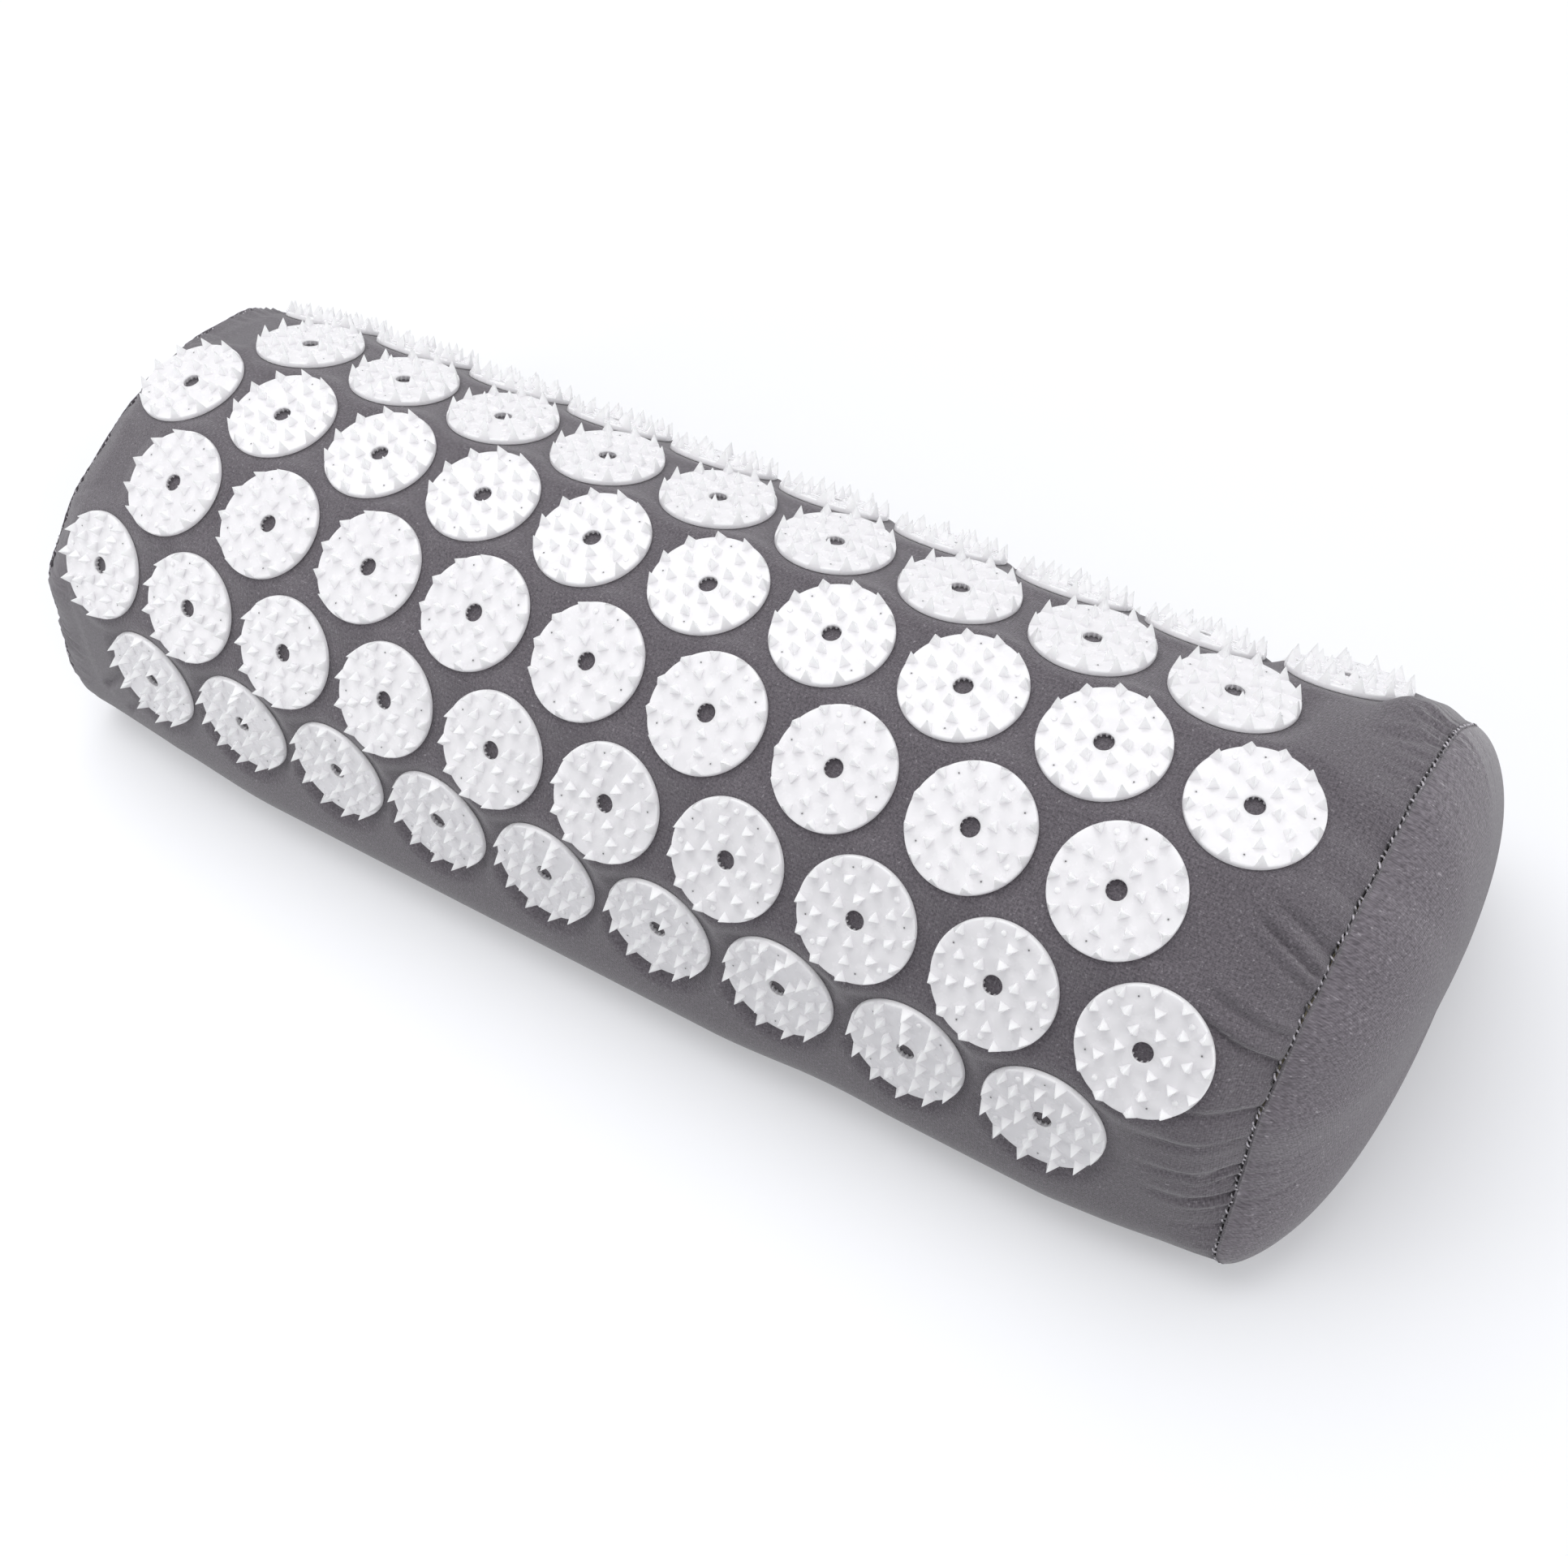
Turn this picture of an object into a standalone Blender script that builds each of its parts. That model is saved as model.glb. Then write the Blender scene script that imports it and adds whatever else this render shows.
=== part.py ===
"""Acupressure neck pillow: a foam bolster in a sewn cover that carries rows of spiked discs.

Metres, +Z up. X runs along the bolster, -Y is its front, and the origin is the middle of
the base on the surface that the bolster lies on. Each piece is one closed body.
"""

import math

import bmesh
import bpy
from mathutils import Matrix, Vector

# Rows of discs: long rows and rows with one disc fewer take turns across the bolster
DISC_PITCH = 0.034
ROW_PITCH = 0.029
ROW_TILTS_DEG = (0.0, 23.6, 50.0, 76.6)
DISC_SPIN_DEG = 47.0

# One disc: a thin round plate with a centre hole and three rings of three-sided spikes. The
# ring shares say where a ring lies between the hole and the outer ring
DISC_DIAMETER = 0.0292
PLATE_THICKNESS = 0.0015
HUB_HOLE_DIAMETER = 0.0045
HUB_HOLE_SIDES = 6
SPIKE_HEIGHT = 0.0033
SPIKE_BASE_RADIUS = 0.0018
MIDDLE_RING_SHARE = 0.638
INNER_RING_SHARE = 0.260
OUTER_SPIKES = 12
MIDDLE_SPIKES = 9
INNER_SPIKES = 6

# The bolster's body, measured over its cloth
BODY_WIDTH = 0.138
BODY_HEIGHT = 0.088
COVER_LENGTH = 0.359
BASE_CORNER_RADIUS = 0.017
CORNER_STEPS = 3
BASE_WRAP = 0.003
CLOTH_THICKNESS = 0.0012

# Ends: the last discs lean outwards, then the cloth is drawn in to a seam and a crowned panel
END_ROOM = 0.010
END_LEAN_DEG = 5.0
SHOULDER_MARGIN = 0.0006
SHOULDER_STEPS = 2
LEFT_SEAM_DRAW = 0.0125
RIGHT_SEAM_DRAW = 0.0100
SEAM_LIFT = 0.0026
END_CROWN = 0.0165
CROWN_POWER = 3
CROWN_RING_SHARES = (0.0, 0.25, 0.62)

# Clearances between pieces that touch, and how deep the two lowest rows sit in the cloth
SEAT_GAP = 0.0003
SEAM_GAP = 0.0008
LOW_ROW_SINK = 0.0008

# Zip under the base, in a shallow valley between the two bottom panels
FLOOR_CLEARANCE = 0.0018
VALLEY_HALF_WIDTH = 0.020
VALLEY_TOP_HALF_WIDTH = 0.013
ZIP_WINDOW_HALF_WIDTH = 0.0055
CLOSED_EDGE_HALF_GAP = 0.0002
TAPE_HALF_WIDTH = 0.0125
TAPE_THICKNESS = 0.0008
CHAIN_INNER_EDGE = 0.0010
CHAIN_OUTER_EDGE = 0.0034
CHAIN_HEIGHT = 0.0024
CHAIN_CHAMFER = 0.0006
STOP_LENGTH = 0.004
STOP_WALL = 0.0008
SLIDER_LENGTH = 0.012
SLIDER_NOSE_HALF_WIDTH = 0.0049
SLIDER_TAIL_HALF_WIDTH = 0.0044
SLIDER_WAIST_LENGTH = 0.005
SLIDER_PLATE = 0.0010
SLIDER_POST_HALF_WIDTH = 0.0006
SLIDER_POST_LENGTH = 0.0028
SLIDER_POST_INSET = 0.0006
JOIN_OVERLAP = 0.0004
BRIDGE_HALF_WIDTH = 0.0007
BRIDGE_BAR = 0.0011
BRIDGE_WINDOW_HALF_LENGTH = 0.0012
BRIDGE_WINDOW_HEIGHT = 0.0021
PULL_BAR = 0.0012
PULL_BAR_DROP = 0.0004
PULL_LENGTH = 0.024
PULL_HALF_WIDTH = 0.0030
PULL_EYE_HALF_WIDTH = 0.0013
PULL_EYE_LENGTH = 0.0036
PULL_CORNER_RADIUS = 0.0014
PULL_CORNER_STEPS = 3
FOAM_GROOVE_FLARE = 0.008
CUT_OVERRUN = 0.002
SHARP_ANGLE_DEG = 32.0

# Sizes and counts worked out from the ones above
LONG_ROW_DISCS = int((COVER_LENGTH - 2 * END_ROOM - DISC_DIAMETER) / DISC_PITCH) + 1
DISC_RADIUS = DISC_DIAMETER / 2
HUB_HOLE_RADIUS = HUB_HOLE_DIAMETER / 2
SPIKE_HALF_BASE = SPIKE_BASE_RADIUS * math.sin(math.pi / 3)
OUTER_RING_RADIUS = math.sqrt(DISC_RADIUS**2 - SPIKE_HALF_BASE**2) - SPIKE_BASE_RADIUS / 2
RING_RUN = OUTER_RING_RADIUS - HUB_HOLE_RADIUS
MIDDLE_RING_RADIUS = HUB_HOLE_RADIUS + RING_RUN * MIDDLE_RING_SHARE
INNER_RING_RADIUS = HUB_HOLE_RADIUS + RING_RUN * INNER_RING_SHARE
HALF_ROW = ROW_PITCH / 2
HALF_WIDTH = BODY_WIDTH / 2
MID_HEIGHT = BODY_HEIGHT / 2
SEAM_X = COVER_LENGTH / 2
BASE_EDGE_Y = HALF_WIDTH - BASE_CORNER_RADIUS
BASE_SEAM_Y = BASE_EDGE_Y - BASE_WRAP
LOWEST_ROW = len(ROW_TILTS_DEG) - 1
LAST_DISC_X = (LONG_ROW_DISCS - 1) / 2 * DISC_PITCH
LEAN_START_X = LAST_DISC_X - DISC_RADIUS
SHOULDER_START_X = LAST_DISC_X + DISC_RADIUS + SHOULDER_MARGIN
SLIDER_FLOOR_Z = FLOOR_CLEARANCE + BRIDGE_BAR + BRIDGE_WINDOW_HEIGHT
CHAIN_Z = SLIDER_FLOOR_Z + SLIDER_PLATE + SEAT_GAP + CHAIN_HEIGHT / 2
SLIDER_TOP_Z = CHAIN_Z + CHAIN_HEIGHT / 2 + SEAT_GAP + SLIDER_PLATE
PANEL_EDGE_Z = CHAIN_Z - TAPE_THICKNESS / 2 - SEAT_GAP - CLOTH_THICKNESS
ZIP_HALF_LENGTH = LEAN_START_X - SEAM_GAP
SLIDER_REST_X = ZIP_HALF_LENGTH - STOP_LENGTH - SEAM_GAP - SLIDER_LENGTH / 2
HINGE_Z = SLIDER_FLOOR_Z - PULL_BAR_DROP - PULL_BAR / 2

CLOTH_GREY = (0.147, 0.133, 0.156)
PLASTIC_WHITE = (0.86, 0.86, 0.87)
FOAM_CREAM = (0.80, 0.74, 0.55)
TAPE_GREY = (0.060, 0.056, 0.064)
ZINC_GREY = (0.42, 0.42, 0.44)


def clear_scene():
    for obj in list(bpy.data.objects):
        bpy.data.objects.remove(obj, do_unlink=True)


def make_collection(name):
    collection = bpy.data.collections.new(name)
    bpy.context.scene.collection.children.link(collection)
    return collection


def make_material(name, colour, roughness, metallic=0.0):
    material = bpy.data.materials.new(name)
    material.use_nodes = True
    shader = material.node_tree.nodes["Principled BSDF"]
    shader.inputs["Base Color"].default_value = (*colour, 1.0)
    shader.inputs["Roughness"].default_value = roughness
    shader.inputs["Metallic"].default_value = metallic
    material.diffuse_color = (*colour, 1.0)
    return material


def mesh_from(bm, name):
    mesh = bpy.data.meshes.new(name)
    bm.to_mesh(mesh)
    bm.free()
    mesh.shade_smooth()
    mesh.set_sharp_from_angle(angle=math.radians(SHARP_ANGLE_DEG))
    return mesh


def closed_mesh_from(bm, name):
    bmesh.ops.recalc_face_normals(bm, faces=bm.faces)
    return mesh_from(bm, name)


def add_object(name, mesh, collection, material):
    obj = bpy.data.objects.new(name, mesh)
    if not mesh.materials:
        mesh.materials.append(material)
    collection.objects.link(obj)
    return obj


def add_helper(name, bm, helpers):
    obj = bpy.data.objects.new(name, closed_mesh_from(bm, name))
    helpers.objects.link(obj)
    hide_helper(obj)
    return obj


def hide_helper(obj):
    obj.hide_render = True
    obj.display_type = "WIRE"


def add_boolean(obj, operation, other):
    modifier = obj.modifiers.new(operation.title(), "BOOLEAN")
    modifier.operation = operation
    modifier.object = other


def add_cloth(obj):
    modifier = obj.modifiers.new("Cloth thickness", "SOLIDIFY")
    modifier.thickness = CLOTH_THICKNESS
    modifier.offset = -1.0
    modifier.use_even_offset = True


# Shape of the bolster


def shoulder_share(x):
    """0 over the discs, rising to 1 at the end seam."""
    run = SEAM_X - SHOULDER_START_X
    return max(0.0, (abs(x) - SHOULDER_START_X) / run) ** 2


def valley_share(x):
    """1 along the zip, falling to 0 where the end discs stop."""
    fade = SHOULDER_START_X - LEAN_START_X
    return min(1.0, max(0.0, (SHOULDER_START_X - abs(x)) / fade))


def end_draw(x):
    """How far the cloth is drawn in from the full section at x."""
    leaning = min(abs(x), SHOULDER_START_X) - LEAN_START_X
    lean = max(0.0, leaning) * math.tan(math.radians(END_LEAN_DEG))
    seam_draw = LEFT_SEAM_DRAW if x < 0 else RIGHT_SEAM_DRAW
    return lean + (seam_draw - lean) * shoulder_share(x)


def on_skin(x, point):
    """A point of the full section, moved to where the bolster's skin lies at x."""
    y, z = point
    draw = end_draw(x) if z > MID_HEIGHT else SEAM_LIFT * shoulder_share(x)
    across = 1 - end_draw(x) / HALF_WIDTH
    upward = 1 - draw / MID_HEIGHT
    return Vector((x, y * across, MID_HEIGHT + (z - MID_HEIGHT) * upward))


def row_edges(depth=0.0):
    """Edges of the flat strips that carry the rows, down one side, moved inwards by depth."""
    y = HALF_ROW
    z = BODY_HEIGHT
    edges = []
    for index, tilt in enumerate(ROW_TILTS_DEG):
        if index:
            y += ROW_PITCH * math.cos(math.radians(tilt))
            z -= ROW_PITCH * math.sin(math.radians(tilt))
        below = ROW_TILTS_DEG[min(index + 1, LOWEST_ROW)]
        turn = math.radians((tilt + below) / 2)
        reach = depth / math.cos(math.radians(below - tilt) / 2)
        edges.append((y - reach * math.sin(turn), z - reach * math.cos(turn)))
    return edges


def corner_arc(depth=0.0):
    """The rounded edge from the side to the flat base, and on to the base seam."""
    radius = BASE_CORNER_RADIUS - depth
    arc = []
    for step in range(CORNER_STEPS + 1):
        angle = math.pi / 2 * step / CORNER_STEPS
        y = BASE_EDGE_Y + radius * math.cos(angle)
        z = BASE_CORNER_RADIUS - radius * math.sin(angle)
        arc.append((y, z))
    return arc + [(BASE_SEAM_Y, depth)]


def cover_outline(depth=0.0):
    """The open section from the front base seam over the top to the back base seam."""
    back = row_edges(depth) + corner_arc(depth)
    front = [(-y, z) for y, z in reversed(back)]
    return front + back


def stations():
    """Places along X where the skin changes slope, from the left seam to the right one."""
    run = SEAM_X - SHOULDER_START_X
    right = [LEAN_START_X, SHOULDER_START_X]
    for step in range(SHOULDER_STEPS):
        right.append(SHOULDER_START_X + run * (step + 1) / SHOULDER_STEPS)
    return [-x for x in reversed(right)] + right


def loft(rings, closed, start_cap=False, end_cap=False):
    """A surface through rings of equally many points, facing outwards when the rings run
    towards +X and each ring runs from -Y over the top to +Y."""
    bm = bmesh.new()
    rows = [[bm.verts.new(point) for point in ring] for ring in rings]
    count = len(rows[0])
    last = count if closed else count - 1
    for lower, upper in zip(rows, rows[1:]):
        for index in range(last):
            after = (index + 1) % count
            bm.faces.new((lower[index], upper[index], upper[after], lower[after]))
    if start_cap:
        bm.faces.new(rows[0])
    if end_cap:
        bm.faces.new(rows[-1][::-1])
    return bm


def crown_rings(x, seam_ring, rise):
    """Rings that shrink from an end seam to the flat middle of the crowned end."""
    middle = Vector((0.0, 0.0, MID_HEIGHT))
    rings = []
    for share in CROWN_RING_SHARES:
        out = math.copysign(rise * (1 - (1 - share) ** CROWN_POWER), x)
        shrunk = [middle + (point - middle) * (1 - share) for point in seam_ring]
        rings.append([Vector((x + out, point.y, point.z)) for point in shrunk])
    return rings


# Foam and cover


def foam_depth(x):
    """Depth of the foam under the skin: cloth and gap, more where the skin slopes inwards."""
    step = (SEAM_X - SHOULDER_START_X) / SHOULDER_STEPS
    outside = math.copysign(min(abs(x) + step, SEAM_X), x)
    inside = math.copysign(abs(outside) - step, x)
    slope = math.atan2(end_draw(outside) - end_draw(inside), step)
    flattening = 1 - end_draw(x) / MID_HEIGHT
    return (CLOTH_THICKNESS + SEAT_GAP) / math.cos(slope) / flattening


def foam_ring(x):
    """The foam's closed section at x, with a groove over the zip."""
    depth = foam_depth(x)
    floor = CLOTH_THICKNESS + SEAT_GAP
    roof = floor + (SLIDER_TOP_Z + SEAT_GAP - floor) * valley_share(x)
    mouth = VALLEY_HALF_WIDTH + floor
    groove = [(mouth, depth), (mouth - FOAM_GROOVE_FLARE, max(roof, depth))]
    outline = cover_outline(depth) + groove + [(-y, z) for y, z in reversed(groove)]
    return [on_skin(x, point) for point in outline]


def build_foam_core(collection, material):
    rings = [foam_ring(x) for x in stations()]
    rise = END_CROWN - CLOTH_THICKNESS - SEAT_GAP
    left = crown_rings(-SEAM_X, rings[0], rise)[:0:-1]
    right = crown_rings(SEAM_X, rings[-1], rise)[1:]
    bm = loft(left + rings + right, closed=True, start_cap=True, end_cap=True)
    add_object("foam_core", mesh_from(bm, "foam_core"), collection, material)


def build_cover_top(collection, material, low_discs):
    """The top panel, one cloth shell, joined to the discs of its two lowest rows."""
    rings = [[on_skin(x, point) for point in cover_outline()] for x in stations()]
    mesh = mesh_from(loft(rings, closed=False), "cover_top_panel")
    obj = add_object("cover_top_panel", mesh, collection, material)
    add_cloth(obj)
    union = obj.modifiers.new("Lowest rows of discs", "BOOLEAN")
    union.operation = "UNION"
    union.operand_type = "COLLECTION"
    union.collection = low_discs


def build_end_panel(name, x, collection, material):
    ring = [on_skin(x, point) for point in cover_outline()]
    rings = crown_rings(x + math.copysign(SEAM_GAP, x), ring, END_CROWN - SEAM_GAP)
    if x < 0:
        bm = loft(rings[::-1], closed=True, start_cap=True)
    else:
        bm = loft(rings, closed=True, end_cap=True)
    add_cloth(add_object(name, mesh_from(bm, name), collection, material))


def build_bottom_panel(name, side, collection, material):
    """A flat base panel whose inner edge turns up to the zip tape."""
    rings = []
    for x in stations():
        valley = valley_share(x)
        edge = CLOSED_EDGE_HALF_GAP + (ZIP_WINDOW_HALF_WIDTH - CLOSED_EDGE_HALF_GAP) * valley
        outline = [
            (BASE_SEAM_Y - SEAM_GAP, 0.0),
            (VALLEY_HALF_WIDTH, 0.0),
            (VALLEY_TOP_HALF_WIDTH, PANEL_EDGE_Z * valley),
            (edge, PANEL_EDGE_Z * valley),
        ]
        ring = [on_skin(x, (side * y, z)) for y, z in outline]
        rings.append(ring if side > 0 else ring[::-1])
    bm = loft(rings, closed=False)
    add_cloth(add_object(name, mesh_from(bm, name), collection, material))


# Discs


def spike_base(angle, ring_radius):
    """The three base corners of a spike: one towards the disc's centre, two outwards."""
    centre = Vector((math.cos(angle), math.sin(angle), 0.0)) * ring_radius
    corners = []
    for turn in (math.pi, math.pi * 5 / 3, math.pi / 3):
        direction = Vector((math.cos(angle + turn), math.sin(angle + turn), 0.0))
        corners.append(centre + direction * SPIKE_BASE_RADIUS)
    return centre, corners


def add_spike(bm, base, centre):
    tip = bm.verts.new(centre + Vector((0.0, 0.0, PLATE_THICKNESS + SPIKE_HEIGHT)))
    for index, corner in enumerate(base):
        bm.faces.new((corner, base[(index + 1) % len(base)], tip))


def ring_of_verts(bm, radius, count, z, start=0.0):
    angles = [start + math.tau * index / count for index in range(count)]
    return [bm.verts.new((radius * math.cos(a), radius * math.sin(a), z)) for a in angles]


def edges_round(bm, loop):
    return [bm.edges.new(pair) for pair in zip(loop, loop[1:] + loop[:1])]


def join_loops(bm, lower, upper):
    for index, vert in enumerate(lower):
        after = (index + 1) % len(lower)
        bm.faces.new((vert, lower[after], upper[after], upper[index]))


def add_outer_spikes(bm):
    """Spikes whose outer edges lie on the rim. Returns the rim corners and the plate's loop."""
    rim = []
    loop = []
    for index in range(OUTER_SPIKES):
        angle = math.tau * index / OUTER_SPIKES
        centre, corners = spike_base(angle, OUTER_RING_RADIUS)
        inner, right, left = [bm.verts.new((c.x, c.y, PLATE_THICKNESS)) for c in corners]
        add_spike(bm, [inner, right, left], centre)
        rim.append((right, left))
        loop += [right, inner, left]
    return rim, loop


def add_free_spikes(bm, count, ring_radius):
    """A ring of spikes inside the plate. Returns the edges round their bases."""
    edges = []
    for index in range(count):
        centre, corners = spike_base(math.tau * index / count, ring_radius)
        base = [bm.verts.new((c.x, c.y, PLATE_THICKNESS)) for c in corners]
        add_spike(bm, base, centre)
        edges += [base[0].link_edges, base[1].link_edges, base[2].link_edges]
    return {edge for group in edges for edge in group if is_flat_edge(edge)}


def is_flat_edge(edge):
    return all(abs(vert.co.z - PLATE_THICKNESS) < SEAT_GAP for vert in edge.verts)


def build_disc_mesh():
    """One disc with its underside at z = 0, used by every disc of the bolster."""
    bm = bmesh.new()
    rim, loop = add_outer_spikes(bm)
    top_edges = {edge for vert in loop for edge in vert.link_edges if is_flat_edge(edge)}
    outer_edges = {bm.edges.get(pair) for pair in rim}
    for (_, left), (right, _) in zip(rim, rim[1:] + rim[:1]):
        top_edges.add(bm.edges.new((left, right)))
    top_edges -= outer_edges
    top_edges |= add_free_spikes(bm, MIDDLE_SPIKES, MIDDLE_RING_RADIUS)
    top_edges |= add_free_spikes(bm, INNER_SPIKES, INNER_RING_RADIUS)
    hole_top = ring_of_verts(bm, HUB_HOLE_RADIUS, HUB_HOLE_SIDES, PLATE_THICKNESS)
    hole_floor = ring_of_verts(bm, HUB_HOLE_RADIUS, HUB_HOLE_SIDES, 0.0)
    rim_floor = ring_of_verts(bm, DISC_RADIUS, OUTER_SPIKES, 0.0)
    top_edges |= set(edges_round(bm, hole_top))
    floor_edges = edges_round(bm, hole_floor) + edges_round(bm, rim_floor)
    bmesh.ops.triangle_fill(bm, use_beauty=True, edges=list(top_edges))
    bmesh.ops.triangle_fill(bm, use_beauty=True, edges=floor_edges)
    join_loops(bm, hole_floor, hole_top)
    for index, (right, left) in enumerate(rim):
        after = (index + 1) % len(rim)
        bm.faces.new((right, left, rim_floor[index]))
        bm.faces.new((left, rim[after][0], rim_floor[after], rim_floor[index]))
    return closed_mesh_from(bm, "spiked_disc")


def strip_at(x, row):
    """The two edges of a row's strip on the skin at x, the one nearer the front first."""
    edges = row_edges()
    if row == 0:
        near, far = (-edges[0][0], edges[0][1]), edges[0]
    elif row > 0:
        near, far = edges[row - 1], edges[row]
    else:
        near, far = [(-y, z) for y, z in (edges[-row], edges[-row - 1])]
    return on_skin(x, near), on_skin(x, far)


def disc_frame(x, row, gap):
    """Where a disc sits: flat on its strip, gap above the highest point of the skin there."""
    left_near, left_far = strip_at(x - DISC_RADIUS, row)
    right_near, right_far = strip_at(x + DISC_RADIUS, row)
    middle = (left_near + left_far + right_near + right_far) / 4
    along = (right_near + right_far - left_near - left_far).normalized()
    normal = along.cross(left_far + right_far - left_near - right_near).normalized()
    bends = [side * bend for side in (-1, 1) for bend in (LEAN_START_X, SHOULDER_START_X)]
    places = [x - DISC_RADIUS, x + DISC_RADIUS] + [b for b in bends if abs(b - x) < DISC_RADIUS]
    heights = [(point - middle).dot(normal) for place in places for point in strip_at(place, row)]
    seat = middle + normal * (max(heights) + gap)
    across = normal.cross(along)
    return Matrix.Translation(seat) @ Matrix((along, across, normal)).transposed().to_4x4()


def build_discs(collection, low_discs, material):
    """Every disc of the seven rows, counted from the front and from the left."""
    mesh = build_disc_mesh()
    placed = 0
    for row in range(-LOWEST_ROW, LOWEST_ROW + 1):
        is_low = abs(row) == LOWEST_ROW
        count = LONG_ROW_DISCS - abs(row) % 2
        for index in range(count):
            x = (index - (count - 1) / 2) * DISC_PITCH
            name = f"disc_row{row + LOWEST_ROW + 1}_{index + 1:02d}"
            target = low_discs if is_low else collection
            disc = add_object(name, mesh, target, material)
            frame = disc_frame(x, row, -LOW_ROW_SINK if is_low else SEAT_GAP)
            spin = Matrix.Rotation(math.radians(DISC_SPIN_DEG * placed), 4, "Z")
            disc.matrix_world = frame @ spin
            if is_low:
                hide_helper(disc)
            placed += 1


# Zip


def prism_along_x(outline, start, end):
    rings = [[Vector((x, y, z)) for y, z in outline] for x in (start, end)]
    return loft(rings, closed=True, start_cap=True, end_cap=True)


def prism_along_y(outline, half_width):
    rings = [[Vector((x, y, z)) for x, z in outline] for y in (-half_width, half_width)]
    return loft(rings, closed=True, start_cap=True, end_cap=True)


def prism_along_z(outline, low, high):
    rings = [[Vector((x, y, z)) for x, y in outline] for z in (low, high)]
    return loft(rings, closed=True, start_cap=True, end_cap=True)


def rectangle(low_a, high_a, low_b, high_b):
    return [(low_a, low_b), (high_a, low_b), (high_a, high_b), (low_a, high_b)]


def build_zip_tape(name, side, collection, material):
    """A woven tape with the zip's coil along its inner edge."""
    tape_low = CHAIN_Z - TAPE_THICKNESS / 2
    tape_high = CHAIN_Z + TAPE_THICKNESS / 2
    chain_low = CHAIN_Z - CHAIN_HEIGHT / 2
    chain_high = CHAIN_Z + CHAIN_HEIGHT / 2
    outline = [
        (TAPE_HALF_WIDTH, tape_low),
        (TAPE_HALF_WIDTH, tape_high),
        (CHAIN_OUTER_EDGE, tape_high),
        (CHAIN_OUTER_EDGE - CHAIN_CHAMFER, chain_high),
        (CHAIN_INNER_EDGE + CHAIN_CHAMFER, chain_high),
        (CHAIN_INNER_EDGE, chain_high - CHAIN_CHAMFER),
        (CHAIN_INNER_EDGE, chain_low + CHAIN_CHAMFER),
        (CHAIN_INNER_EDGE + CHAIN_CHAMFER, chain_low),
        (CHAIN_OUTER_EDGE - CHAIN_CHAMFER, chain_low),
        (CHAIN_OUTER_EDGE, tape_low),
    ]
    outline = [(side * y, z) for y, z in outline]
    bm = prism_along_x(outline, -ZIP_HALF_LENGTH, ZIP_HALF_LENGTH)
    add_object(name, closed_mesh_from(bm, name), collection, material)


def build_zip_stop(name, side, collection, material):
    """A clip pressed over both coils from below, at one end of the zip."""
    inner_y = CHAIN_OUTER_EDGE + SEAT_GAP
    outer_y = inner_y + STOP_WALL
    recess_z = CHAIN_Z - CHAIN_HEIGHT / 2 - SEAT_GAP
    top_z = CHAIN_Z - TAPE_THICKNESS / 2 - SEAT_GAP
    half = [(outer_y, recess_z - STOP_WALL), (outer_y, top_z), (inner_y, top_z), (inner_y, recess_z)]
    outline = half + [(-y, z) for y, z in reversed(half)]
    outer_x = side * ZIP_HALF_LENGTH
    bm = prism_along_x(outline, outer_x, outer_x - side * STOP_LENGTH)
    add_object(name, closed_mesh_from(bm, name), collection, material)


def slider_plan():
    """The slider seen from above, wider at the nose where its post parts the coils."""
    tail_x = -SLIDER_LENGTH / 2
    waist_x = tail_x + SLIDER_WAIST_LENGTH
    nose_x = SLIDER_LENGTH / 2
    half = [
        (tail_x, SLIDER_TAIL_HALF_WIDTH),
        (waist_x, SLIDER_TAIL_HALF_WIDTH),
        (nose_x - SLIDER_POST_INSET, SLIDER_NOSE_HALF_WIDTH),
        (nose_x, SLIDER_NOSE_HALF_WIDTH - SLIDER_POST_INSET),
    ]
    return half + [(x, -y) for x, y in reversed(half)]


def slider_cutters(helpers):
    """The channel that the two coils run in, and the slots for their tapes."""
    reach = SLIDER_LENGTH / 2 + CUT_OVERRUN
    chain = CHAIN_OUTER_EDGE + SEAT_GAP
    side = SLIDER_NOSE_HALF_WIDTH + CUT_OVERRUN
    chain_half = CHAIN_HEIGHT / 2 + SEAT_GAP
    tape_half = TAPE_THICKNESS / 2 + SEAT_GAP
    channel = rectangle(-chain, chain, CHAIN_Z - chain_half, CHAIN_Z + chain_half)
    slot = rectangle(-side, side, CHAIN_Z - tape_half, CHAIN_Z + tape_half)
    return (
        add_helper("slider_channel", prism_along_x(channel, -reach, reach), helpers),
        add_helper("slider_slot", prism_along_x(slot, -reach, reach), helpers),
    )


def slider_additions(helpers):
    """The post between the two plates, and the bridge that holds the pull."""
    post_end = SLIDER_LENGTH / 2 - SLIDER_POST_INSET
    post_half = SLIDER_POST_HALF_WIDTH
    plan = rectangle(post_end - SLIDER_POST_LENGTH, post_end, -post_half, post_half)
    low = SLIDER_FLOOR_Z + SLIDER_PLATE - JOIN_OVERLAP
    high = SLIDER_TOP_Z - SLIDER_PLATE + JOIN_OVERLAP
    inner = BRIDGE_WINDOW_HALF_LENGTH
    outer = inner + BRIDGE_BAR
    root_z = SLIDER_FLOOR_Z + JOIN_OVERLAP
    window_z = FLOOR_CLEARANCE + BRIDGE_BAR
    half = [(outer, root_z), (outer, FLOOR_CLEARANCE)]
    inside = [(-inner, root_z), (-inner, window_z), (inner, window_z), (inner, root_z)]
    outline = half + [(-x, z) for x, z in reversed(half)] + inside
    return (
        add_helper("slider_post", prism_along_z(plan, low, high), helpers),
        add_helper("slider_bridge", prism_along_y(outline, BRIDGE_HALF_WIDTH), helpers),
    )


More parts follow.
